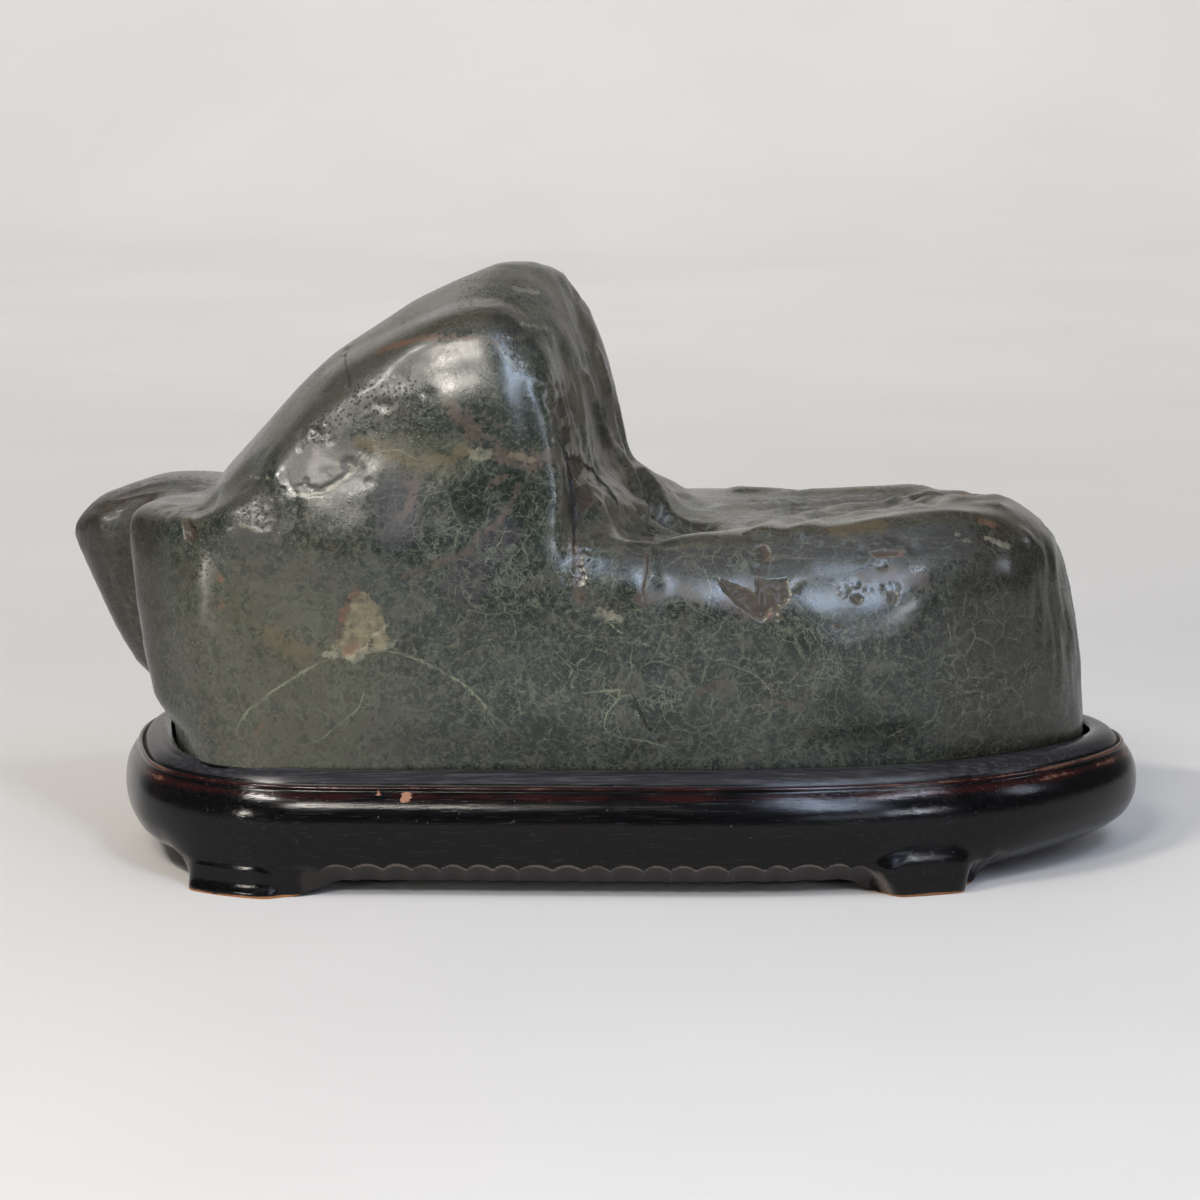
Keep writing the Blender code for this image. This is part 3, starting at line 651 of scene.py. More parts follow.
def ripple_height(points, normals):
    """The low waves that the water left on the shelf."""
    drift = np.stack([clouds(points, RIPPLE_BEND_WIDTH, 9 + axis) for axis in range(3)], axis=1)
    bent = points + RIPPLE_BEND * drift
    across = np.hypot(bent[:, 0] - RIPPLE_CENTRE[0], bent[:, 1] - RIPPLE_CENTRE[1])
    wave = 1.0 - 2.0 * np.abs(np.sin(across * math.pi / RIPPLE_PITCH)) ** 0.8
    strength = smoothstep(0.7, 0.95, normals[:, 2]) * smoothstep(*RIPPLE_LEFT, points[:, 0])
    strength *= smoothstep(*RIPPLE_FRONT, points[:, 1]) - smoothstep(*RIPPLE_BACK, points[:, 1])
    strength *= 1.0 - smoothstep(*RIPPLE_RIGHT, points[:, 0])
    patchy = np.clip(0.6 + 1.2 * clouds(points, 16.0, 13), 0.1, 1.4)
    return 0.5 * RIPPLE_HEIGHT * wave * strength * patchy


def flute_height(points, normals):
    """Fine flutes down the peak's right side and the stone's right end."""
    stretch = np.array([FLUTE_WIDTH, FLUTE_WIDTH, FLUTE_LENGTH])
    steep = smoothstep(0.45, 0.8, normals[:, 0]) * smoothstep(-18, -6, points[:, 0])
    return FLUTE_DEPTH * steep * clouds(points / stretch, 1.0, 15)


def broken_height(points):
    """Where the skin is broken into flakes: how far it stands up or down, and how broken
    it is."""
    crumbs = sum(height * smoothstep(*CRUMB_EDGE, clouds(points, width, seed))
                 for width, seed, height in CRUMBS) - CRUMB_MIDDLE
    raised = np.zeros(len(points))
    share = np.zeros(len(points))
    for line, half_width, uneven in BROKEN:
        here = ridge(points, line, half_width)
        raised += uneven * here * crumbs
        share = np.maximum(share, here)
    return raised, share


def pit_depth(points):
    """Small pits all over, as frost and sand leave them: some stand in clusters."""
    rng = np.random.default_rng(PIT_SEED)
    centres = points[rng.choice(len(points), PIT_COUNT, replace=False)]
    crowd = clouds(centres, PIT_CROWD, 14)
    centres = centres[crowd > rng.uniform(-0.35, 0.6, PIT_COUNT)]
    sunk = np.zeros(len(points))
    order = np.argsort(points[:, 0])
    along = points[order, 0]
    for centre, size in zip(centres, rng.uniform(*PIT_SIZES, len(centres))):
        near = order[np.searchsorted(along, centre[0] - size):np.searchsorted(along, centre[0] + size)]
        away = np.linalg.norm(points[near] - centre, axis=1) / size
        sunk[near] = np.maximum(sunk[near], PIT_SLOPE * size * np.clip(1.0 - away**2, 0.0, 1.0))
    return sunk


def carve(points, normals):
    """All the relief finer than the drawing's: the new points, each one's distance to a
    chip's edge, and how broken its skin is."""
    raised, broken = broken_height(points)
    raised += ripple_height(points, normals) + flute_height(points, normals) - pit_depth(points)
    for start, end, half_width, depth in GOUGES:
        raised -= depth * hollow(points, start, end, half_width)
    for line, half_width, height in CRESTS:
        raised += height * ridge(points, line, half_width)
    sunk, chip_edge = chip_depth(points, normals)
    raised -= sunk + crack_depth(points, normals)
    return points + normals * raised[:, None], chip_edge, broken


def stain(points, normals, kind):
    """How strongly a kind of stain shows: 1 at its heart, 0.5 at its edge, 0 well outside."""
    flat = points[:, [0, 2]]
    facing = smoothstep(-0.4, -0.1, -normals[:, 1])
    field = np.zeros(len(points))
    for half_width, line in STAINS[kind]:
        in_space = len(line[0]) == 3
        away, _ = line_distance(points if in_space else flat, line)
        here = 1.0 - 0.5 * away / half_width
        field = np.maximum(field, here if in_space else here * facing)
    return np.clip(field, 0.0, 1.0)


def paint_stone(mesh, chip_edge, broken):
    """What the material needs to know of each point of the stone."""
    points, normals = read_points(mesh)
    flat = points[:, [0, 2]]
    front = on_front(points, normals)
    paint(mesh, "chip", chip_edge)
    paint(mesh, "broken", broken)
    for kind in sorted(STAINS):
        field = stain(points, normals, kind)
        if kind == "tan":
            inward = -outline_distance(flat, CHIPS["triangle"][0])
            field = np.maximum(field, front * np.clip(0.5 + 0.25 * inward, 0.0, 1.0))
        paint(mesh, kind, field)
    near = np.full(len(points), FAR)
    side = np.full(len(points), FAR)
    for line, width in VEINS.values():
        away, share = line_distance(flat, line)
        away /= width * running_out(share)
        side = np.where(away < near, away * side_of(flat, line), side)
        near = np.minimum(away, near)
    paint(mesh, "vein_near", np.where(front > FACES_FRONT, near, FAR))
    paint(mesh, "vein_side", side)
    paint(mesh, "crack", crack_depth(points, normals))
    x = points[:, 0]
    # Both ends painted a darker brown; on the right end the darkening is also painted shade, as the light
    # falls from the left.
    paint(mesh, "ends", np.maximum(smoothstep(*RIGHT_END, x), smoothstep(*LEFT_END, x)))
    # Upward faces: painted a paler brown-grey, partly patina and partly a painted sheen, lightened to
    # match the shine the tops catch.
    paint(mesh, "top", smoothstep(0.35, 0.85, normals[:, 2]))
    # The peak's right flank, by the way it faces: painted paler brown, its own colour lightened to stand
    # in for the sheen on its fluted ridges, a painted sheen.
    beside_peak = smoothstep(*FLANK_LEFT, x) * smoothstep(*FLANK_RIGHT, x)
    paint(mesh, "flank", smoothstep(0.3, 0.7, normals[:, 0]) * beside_peak)


def make_stone():
    """The stone: masses worn round and grown together, hollowed, set in its seat, then
    carved with all its marks."""
    masses = [mass(name, *given) for name, given in STONE_MASSES.items()]
    stone = grow_and_wear(joined("scholars_stone", masses), STONE_VOXEL, STONE_WEAR)
    mesh = stone.data
    points, normals = read_points(mesh)
    sunk = sum(depth * hollow(points, start, end, half_width)
               for start, end, half_width, depth in STONE_HOLLOWS.values())
    write_points(mesh, points - normals * sunk[:, None])
    points, normals = read_points(mesh)
    raised = layered(points, SWELLS)
    write_points(mesh, fit_to_seat(points + normals * raised[:, None]) + SHIFT)
    for reach, least_broken in FINER:
        split_near_marks(mesh, reach, least_broken)
    points, normals = read_points(mesh)
    carved, chip_edge, broken = carve(points, normals)
    carved[:, 2] = np.maximum(carved[:, 2], STONE_BASE)
    write_points(mesh, carved)
    paint_stone(mesh, chip_edge, broken)
    mesh.shade_smooth()
    return stone


# ==== The stand =====================================================================

# The rim, from the seat out: distance out from the bead's line, height. The groove, the
# bead and the shoulder come first, then the swelling of the apron.
RIM_PROFILE = [
    (-5.4, 29.8), (-4.3, 29.7), (-3.2, 29.3), (-2.1, 28.5), (-1.3, 27.5), (-0.8, 26.7), (-0.5, 26.2),
    (-0.25, 26.5), (0.1, 26.9), (0.5, 26.8), (0.8, 26.3), (0.85, 25.8), (1.2, 25.3), (1.8, 24.5),
    (2.4, 23.6), (3, 22.5), (3.5, 21.2), (3.9, 19.5), (4.1, 17.5),
]
APRON_TOP = 17.5  # below this height the apron and the feet part
APRON_SIDE = [(1, 3.5), (2, 6), (2.8, 8.5), (3.3, 10.6), (3.7, 12.8), (4, 15.2), (4.1, 17.5)]
APRON_END = [(-9, 3.5), (-4.8, 5), (-1, 7.2), (1.8, 9.6), (3.5, 12.8), (4, 15.2), (4.1, 17.5)]
FOOT_FLARED = [
    (4.85, 0), (4.95, 0.7), (4.8, 1.3), (4.5, 2), (4.25, 2.8), (4.12, 3.6), (4.05, 4.8), (4, 6),
    (3.92, 6.7), (3.72, 7.4), (3.64, 8.4), (3.64, 9.8), (3.72, 11.6), (3.84, 13.4), (3.97, 15.5),
    (4.1, 17.5),
]
FOOT_CUSHION = [
    (3.8, 0), (4.35, 0.9), (4.85, 2.4), (5.15, 4.3), (5.22, 6.2), (5.15, 7.5), (5, 8.7), (4.72, 9.9),
    (4.47, 11.2), (4.3, 12.6), (4.19, 14.2), (4.12, 16), (4.1, 17.5),
]
APRON_ROWS = 40
# The raised face of each kind of foot, in X from the sole's left end and Z. Above the
# height given its edge fades into the apron ever more softly.
FACE_FLARED = [(-0.6, -4), (-0.6, 9), (0.6, 26), (16, 26), (17.5, 14), (19, 8.5), (19.6, 3), (19.6, -4)]
FACE_CUSHION = [
    (1.6, -4), (1.6, 0), (-0.5, 3.5), (-3.2, 7.2), (-1.6, 9.2), (0.8, 11.2), (4, 14.5), (6, 20),
    (7, 26), (16, 26), (17.5, 18), (19.5, 12), (20.4, 7), (20, -4),
]
FACE_WEAR = 5  # passes that wear the raised face's edge round
FADE_FROM = 4.0
FOOT_FADE = 0.5
# Each foot: where its sole begins and ends along X, the runs in which its sides sweep up
# to the apron, its side of the stand, its profile, its raised face, how softly the face's
# edge turns, how far out the wood beside it still reaches, and how strongly that edge is painted rubbed
# and glinting.
FEET = [
    (-98.0, -77.0, 8.0, 15.0, -1, FOOT_FLARED, FACE_FLARED, 1.3, 1.6, 0.15),
    (64.5, 87.0, 8.5, 5.5, -1, FOOT_CUSHION, FACE_CUSHION, 1.0, -3.0, 1.0),
    (62.0, 86.0, 13.0, 8.0, 1, FOOT_CUSHION, FACE_CUSHION, 1.0, -3.0, 1.0),
    (-96.0, -73.0, 7.0, 13.0, 1, FOOT_FLARED, FACE_FLARED, 1.3, 1.6, 0.15),
]
# Knocks that went through the lacquer on the shoulder: X, Z and half width.
NICKS = [(-53.4, 25.3, 1.2), (-46.9, 24.6, 1.1), (-47.9, 24.0, 0.6)]
STATION_STEP = 0.8  # along the rim
# The gouge's cuts along the apron's foot: how deep, how steep, how hollow, how wide.
CUT_FOOT = -2.7
CUT_SLOPE = 1.12
CUT_HOLLOW = 1.1
CUT_WIDTHS = (5.8, 8.8)
BESIDE_CUT = 0.6  # how much shallower it is beside a foot
CARVER_SEED = 11
CARVER_WAVER = [(42.0, 21, 0.22), (13.0, 21, 0.09)]  # the rim's own unevenness: width, seed, height
# The seat's wall, from its floor up: height, and how far over towards the rim's profile.
SEAT_WALL = [(SEAT_FLOOR, 0.0), (27.5, 0.0), (RIM_TOP - 0.9, 0.0), (RIM_TOP - 0.35, 0.12),
             (RIM_TOP - 0.1, 0.35)]
# What the polish and the wear pick out on the rim, with what is painted there: the band inside
# the groove, dulled and painted lighter as a painted reflection, the groove beside the bead,
# painted near black, the bead's top and the shoulder under it.
SHEEN_BAND_HEIGHTS = (26.9, 27.6)  # over which the band sets in
GROOVE_REACH = -0.5
BEAD_TOP = 26.6
SHOULDER_HEIGHT = 24.6
STAND_ENDS = (96, 122)  # where the rubbing grows stronger, in X either way


def reach_at(profile, height):
    """How far out a profile stands at each height."""
    reach, heights = eased(profile, 6).T
    return np.interp(height, heights, reach)


def stations():
    """Points along the bead's line at an even step, the way out there, and the distance
    run from the first."""
    place, even, _ = evenly(BEAD, STATION_STEP)
    along = np.roll(place, -2, axis=0) - np.roll(place, 2, axis=0)
    out = np.stack([along[:, 1], -along[:, 0]], axis=1)
    return place, out / np.linalg.norm(out, axis=1, keepdims=True), even


def gouge_phase(run):
    """Where each station lies across its gouge cut, from -1 to 1."""
    rng = np.random.default_rng(CARVER_SEED)
    ends = np.cumsum(rng.uniform(*CUT_WIDTHS, int(run[-1] / CUT_WIDTHS[0]) + 2))
    index = np.searchsorted(ends, run)
    starts = np.concatenate([[0.0], ends])
    return 2.0 * (run - starts[index]) / (ends[index] - starts[index]) - 1.0


def worn_round(grid, passes):
    """Evens out a grid of values that closes on itself along the rim."""
    for _ in range(passes):
        grid = (np.roll(grid, 1, axis=0) + 2 * grid + np.roll(grid, -1, axis=0)) / 4
        padded = np.pad(grid, ((0, 0), (1, 1)), mode="edge")
        grid = (padded[:, :-2] + 2 * grid + padded[:, 2:]) / 4
    return grid


def lower_rows(place, out, run):
    """The apron and the feet: reach and height of each row at each station, how deep the
    gouge has gone there, and how near the cut's edge is."""
    t = np.linspace(0.0, 1.0, APRON_ROWS)[None, 1:]
    x, y = place[:, :1], place[:, 1:]
    end = smoothstep(0.25, 0.85, np.abs(out[:, :1]))
    apron_height = APRON_TOP + (APRON_FOOT - APRON_TOP) * t
    belly = reach_at(APRON_SIDE, apron_height)
    rounded = reach_at(APRON_END, apron_height)
    phase = gouge_phase(run)[:, None]
    cut = CUT_FOOT + CUT_SLOPE * (apron_height - APRON_FOOT) + CUT_HOLLOW * phase**2
    side = np.minimum(belly, cut)
    reach = side + (rounded - side) * end
    gouged = smoothstep(0.0, 0.4, belly - cut) * (1.0 - end)
    # The gouge cuts' rims: painted lighter, partly wear and partly painted glints along the edges.
    arris = smoothstep(0.5, 0.1, np.abs(belly - cut)) * (1.0 - end)
    height = apron_height + 0 * reach
    for left, right, left_run, right_run, which, profile, outline, turn, beside, rub_and_glint in FEET:
        away = np.maximum((left - x) / left_run, (x - right) / right_run)
        share = (1.0 - smoothstep(0.0, 1.0, away)) * (y * which > 0)
        height = height + (APRON_TOP * (1.0 - t) - height) * share
        sloped = CUT_FOOT + CUT_SLOPE * (height - APRON_FOOT) + BESIDE_CUT
        inner = np.maximum(np.minimum(reach_at(APRON_SIDE, height), sloped), beside)
        spots = np.stack([x - left + 0 * height, height], axis=-1)
        inward = -outline_distance(spots.reshape(-1, 2), outline).reshape(height.shape)
        soft = turn + FOOT_FADE * np.maximum(height - FADE_FROM, 0.0)
        face = worn_round(smoothstep(-soft, soft, inward), FACE_WEAR)
        foot = inner + (reach_at(profile, height) - inner) * face
        reach = reach + (foot - reach) * share
        scooped = (1.0 - face) * smoothstep(9.0, 7.5, height) * smoothstep(0.1, 0.5, away)
        gouged = gouged * (1.0 - share) + share * scooped
        corner = 4.0 * face * (1.0 - face) * smoothstep(9.0, 5.0, height)
        arris = arris * (1.0 - share) + share * rub_and_glint * corner
    return reach, height, gouged, arris


def make_stand():
    """The stand: rows from the seat's floor out over the rim and down to the soles, carried
    round the bead's line."""
    place, out, run = stations()
    rim = eased(RIM_PROFILE, 2)
    lip = place + rim[0, 0] * out
    angle = direction(lip[:, 0], lip[:, 1])
    seat = np.stack([np.cos(angle), np.sin(angle)], axis=1) * seat_radius(angle)[:, None]
    low_reach, low_height, gouged, arris = lower_rows(place, out, run)
    waver = layered(np.c_[place, np.zeros(len(place))], CARVER_WAVER)

    rows = [np.c_[seat + over * (lip - seat), np.full(len(seat), height)] for height, over in SEAT_WALL]
    for reach, height in rim:
        swell = smoothstep(27.5, 24.0, height)
        lift = 0.6 * waver * (1.0 - swell)
        rows.append(np.c_[place + (reach + waver * swell)[:, None] * out, height + lift])
    for row in range(low_reach.shape[1]):
        drift = waver * smoothstep(2.0, 10.0, low_height[:, row])
        rows.append(np.c_[place + (low_reach[:, row] + drift)[:, None] * out, low_height[:, row]])
    sole = low_height[:, -1]
    rows.append(np.c_[place - SOLE_DEPTH * out, sole])
    rows.append(np.c_[place - (SOLE_DEPTH + SOLE_WALL) * out, np.full(len(place), UNDERSIDE)])

    grid = np.stack(rows, axis=1)
    count, depth = grid.shape[:2]
    index = np.arange(count * depth).reshape(count, depth)
    ahead = np.roll(index, -1, axis=0)
    quads = np.stack([index[:, :-1], ahead[:, :-1], ahead[:, 1:], index[:, 1:]], axis=-1).reshape(-1, 4)
    faces = quads.tolist() + [index[:, 0].tolist(), index[::-1, -1].tolist()]
    mesh = bpy.data.meshes.new("carved_stand")
    mesh.from_pydata(metres(grid.reshape(-1, 3) + SHIFT), [], faces)
    shape = bmesh.new()
    shape.from_mesh(mesh)
    bmesh.ops.recalc_face_normals(shape, faces=shape.faces)
    shape.to_mesh(mesh)
    shape.free()

    at = grid.reshape(-1, 3) + SHIFT
    knocked = [1.0 - 0.5 * np.hypot(at[:, 0] - x, at[:, 2] - z) / size for x, z, size in NICKS]
    paint(mesh, "nick", np.clip(np.max(knocked, axis=0), 0.0, 1.0) * (at[:, 1] < 0))
    paint(mesh, "sole", smoothstep(1.0, 0.2, at[:, 2]))
    reach, height = rim.T
    bead = smoothstep(0.9, 0.0, np.abs(height - BEAD_TOP)) * (reach > GROOVE_REACH)
    shoulder = smoothstep(1.6, 0.0, np.abs(height - SHOULDER_HEIGHT))
    lip_edge = smoothstep(0.8, 0.0, np.abs(reach - RIM_PROFILE[0][0]))
    ends_rubbed = 1.0 + 0.5 * smoothstep(*STAND_ENDS, np.abs(at[:, 0]))
    rim_row = len(SEAT_WALL)
    low_row = rim_row + len(rim)
    for mark, first, shown in (
        ("worn", rim_row, np.maximum.reduce([bead, 0.8 * shoulder, 0.4 * lip_edge])),
        # the band: where its lacquer is dulled and painted lighter, a painted reflection of the room
        # above
        ("band", rim_row, smoothstep(*SHEEN_BAND_HEIGHTS, height) * (reach < GROOVE_REACH)),
        ("gouged", low_row, gouged),
        ("arris", low_row, arris),
        ("groove", rim_row, smoothstep(0.7, 0.1, np.abs(reach - GROOVE_REACH)) * (height > 26)),
    ):
        field = np.zeros((count, depth))
        field[:, first:first + shown.shape[-1]] = shown
        paint(mesh, mark, field.ravel() * (ends_rubbed if mark == "worn" else 1.0))
    mesh.shade_smooth()
    mesh.set_sharp_from_angle(angle=math.radians(50))
    return new_object("carved_stand", mesh)


# ==== Materials =====================================================================


def linear(code):
    """An sRGB hex colour as linear RGBA."""
    values = [int(code[at:at + 2], 16) / 255 for at in (1, 3, 5)]
    return (*(v / 12.92 if v <= 0.04045 else ((v + 0.055) / 1.055) ** 2.4 for v in values), 1.0)


class Finish:
    """A material as it is built up. Its fields are named numbers, colours and places that
    vary over the object, from "place", the place on it in millimetres, to "colour" and
    "gloss", which every coat changes."""

    def __init__(self, name, body, painted=()):
        self.material = bpy.data.materials.new(name)
        self.material.use_nodes = True
        self.tree = self.material.node_tree
        self.shader = self.tree.nodes["Principled BSDF"]
        self.field = {"colour": linear(body)}
        self.add("object", "TexCoord", {}, out="Object")
        self.add("place", "VectorMath", {0: "object", "Scale": 1 / MM}, operation="SCALE")
        for mark in painted:
            self.add(mark, "Attribute", {}, out="Fac", attribute_name=mark)

    def feed(self, node, inputs):
        """Gives a node its inputs: each is a plain value or the name of a field."""
        for socket, value in inputs.items():
            if isinstance(value, str):
                value = self.field[value]
            if isinstance(value, bpy.types.NodeSocket):
                self.tree.links.new(value, node.inputs[socket])
            else:
                node.inputs[socket].default_value = value

    def add(self, name, kind, inputs, out=0, **settings):
        """Adds a node with its settings and inputs; what it puts out becomes a field."""
        node = self.tree.nodes.new("ShaderNode" + kind)
        for setting, value in settings.items():
            setattr(node, setting, value)
        self.feed(node, inputs)
        self.field[name] = node.outputs[out]

    def lay(self, coats):
        """Lays each coat over the last, from the body out. A coat has a name, the field
        that says where it is, how far the ragged field frays its edge, the values between
        which it sets in, its strength, the field within which it shows, its colour and its
        roughness."""
        for name, source, fray, low, high, strength, within, tone, rough in coats:
            self.add("edge", "Math", {0: "ragged", 1: fray, 2: source}, operation="MULTIPLY_ADD")
            self.add(name, "MapRange", {"Value": "edge", "From Min": low, "From Max": high,
                                        "To Max": strength}, interpolation_type="SMOOTHSTEP")
            if within:
                self.add(name, "Math", {0: name, 1: within}, operation="MULTIPLY")
            self.add("colour", "Mix", {0: name, 6: "colour", 7: linear(tone)}, out=2, data_type="RGBA")
            self.add("gloss", "Mix", {0: name, 2: "gloss", 3: rough}, data_type="FLOAT")

    def emboss(self, parts):
        """The relief too fine to carve: the sum of these fields, each times its height in
        millimetres."""
        self.field["height"] = 0.0
        for source, tall in parts:
            self.add("height", "Math", {0: source, 1: tall, 2: "height"}, operation="MULTIPLY_ADD")
        self.add("bump", "Bump", {"Height": "height", "Strength": 1.0, "Distance": MM})


# What is painted on the stone's points, for its material to read.
STONE_MARKS = [*STAINS, "ends", "top", "flank", "chip", "broken", "crack", "vein_near", "vein_side"]
# The coordinates bent twice, so that no pattern runs straight or round: what is bent, the
# width of the bends in millimetres, and how far they reach.
STONE_BENDS = {"swept": ("place", 34.0, 14.0), "bent": ("swept", 7.0, 4.5)}
# Cloudy patterns in the stone: width in millimetres, detail, roughness, and whether it
# follows the bent coordinates.
STONE_GRAIN = {
    "broad": (30.0, 5.0, 0.55, "bent"),
    "cloud": (10.0, 9.0, 0.64, "bent"),
    "mottle": (3.4, 8.0, 0.68, "bent"),
    "fine": (1.1, 6.0, 0.70, "place"),
    "dust": (0.45, 3.0, 0.70, "place"),
    "dimple": (2.6, 4.0, 0.55, "place"),
    "gap": (6.0, 4.0, 0.60, "place"),
    "tuft": (2.0, 6.0, 0.75, "bent"),
}
# Soft masks from those patterns: the values between which each rises, and its least.
STONE_MASKS = {
    "cloud_soft": ("cloud", 0.3, 0.6, 0.3),
    "tuft_soft": ("tuft", 0.38, 0.60, 0.25),
    "gap_soft": ("gap", 0.38, 0.56, 0.10),
}
# Threads of calcite, drawn where a cloudy pattern passes its middle value: the pattern's
# width in millimetres, how thick a thread is, and its strength.
STONE_THREADS = [(19.0, 0.009, 0.75), (9.0, 0.011, 0.8), (4.2, 0.016, 0.7), (2.0, 0.03, 0.5)]
# Seams between cells: the cells' width in millimetres, how thick a seam is, its strength.
STONE_SEAMS = [(6.5, 0.050, 0.75), (2.6, 0.060, 0.55)]
# Patches of the broken and healed rock: width in millimetres, and how far each one's tone
# stands from the next.
STONE_PATCHES = [(11.0, 0.62), (4.5, 0.38)]
STREAK_WIDTH = 1.6
STREAK_STRETCH = 0.06  # how much finer a streak is across than along
VEIN_WANDER = 5.0  # how far a drawn vein's ragged edge strays
POCK_SPACING = 1.0
STONE_COATS = [
    ("greyed", "cloud", 0.3, 0.42, 0.66, 0.70, None, "#2c302b", 0.29),
    ("dark", "patch", 0.9, 0.52, 0.34, 0.74, None, "#131a15", 0.22),
    ("greened", "broad", 0.6, 0.48, 0.62, 0.50, None, "#222e28", 0.26),
    ("olive_zone", "olive", 0.6, 0.15, 0.80, 0.60, None, "#4a4838", 0.30),
    ("shaded", "mottle", 0.5, 0.51, 0.30, 0.52, None, "#1c211b", 0.24),
    ("flecked", "mottle", 0.4, 0.49, 0.74, 0.58, None, "#414138", 0.32),
    ("grained", "fine", 0.0, 0.51, 0.67, 0.65, None, "#525147", 0.32),
    ("browned", "gap", 0.8, 0.54, 0.74, 0.38, None, "#3b3129", 0.33),
    ("plum_zone", "plum", 1.0, 0.30, 0.80, 0.65, None, "#29252d", 0.34),
    # Darker brown at both ends: their own brown skin, and on the right end painted shade.
    ("ends_dark_and_shade", "ends", 0.9, 0.2, 0.9, 0.74, None, "#1d1710", 0.28),
    # Paler brown-grey on the tops: patina, and a painted sheen standing in for their shine.
    ("top_patina_and_sheen", "top", 0.5, 0.2, 0.9, 0.62, "cloud_soft", "#443d32", 0.30),
    # Paler brown on the right flank: partly its own colour, partly a painted sheen for its bright ridges.
    ("flank_brown_and_sheen", "flank", 1.8, 0.2, 0.9, 0.66, "cloud_soft", "#544a3d", 0.34),
    ("umber_zone", "umber", 1.0, 0.30, 0.85, 0.92, None, "#130f0a", 0.62),
    ("streaked", "streak", 0.0, 0.54, 0.66, 0.55, "umber", "#4c4637", 0.50),
    ("matted", "matt", 0.9, 0.30, 0.80, 0.85, None, "#33322c", 0.44),
    ("deep_patch", "deep", 1.2, 0.42, 0.62, 0.80, None, "#0f1711", 0.20),
    ("net_haze", "tuft", 0.5, 0.52, 0.70, 0.28, "net_share", "#404639", 0.33),
    ("threads_in", "threads", 0.0, 0.0, 0.9, 0.80, "net_share", "#656a58", 0.35),
    ("vein", "vein_line", 0.0, 0.0, 1.0, 0.62, "gap_soft", "#757a63", 0.34),
    # Pale flecks, and the painted highlight along the basin's lower lip.
    ("pale_fleck_and_lip_highlight", "pale", 1.5, 0.44, 0.70, 0.60, "tuft_soft", "#807d6b", 0.42),
    ("ochre_vein", "ochre", 1.6, 0.36, 0.76, 0.62, "tuft_soft", "#564a33", 0.36),
    ("tan_skin", "tan", 0.8, 0.44, 0.56, 0.80, "tuft_soft", "#756c53", 0.50),
    ("brown_skin", "brown", 1.6, 0.40, 0.68, 0.74, "tuft_soft", "#43352a", 0.48),
    ("rust_spot", "rust", 1.6, 0.44, 0.76, 0.72, "tuft_soft", "#5f3f2b", 0.54),
    ("chip_floor", "chip", 0.4, 0.08, -0.40, 0.90, None, "#2b2215", 0.74),
    ("chip_rim", "chip_edge", 0.4, 0.26, -0.02, 0.35, "tuft_soft", "#6d6757", 0.46),
    ("crumbled", "broken", 1.2, 0.45, 0.95, 0.40, "tuft_soft", "#3a2f25", 0.50),
    ("pocked", "pocks", 0.0, 0.0, 1.0, 0.70, None, "#1d1712", 0.60),
    ("cracked", "crack", 0.0, 0.10, 0.45, 0.90, None, "#0d0b09", 0.75),
]
STONE_RELIEF = [("dimple", 0.055), ("fine", 0.035), ("dust", 0.010), ("pocks", -0.15), ("cracked", -0.30),
                ("chip_floor", 0.05)]


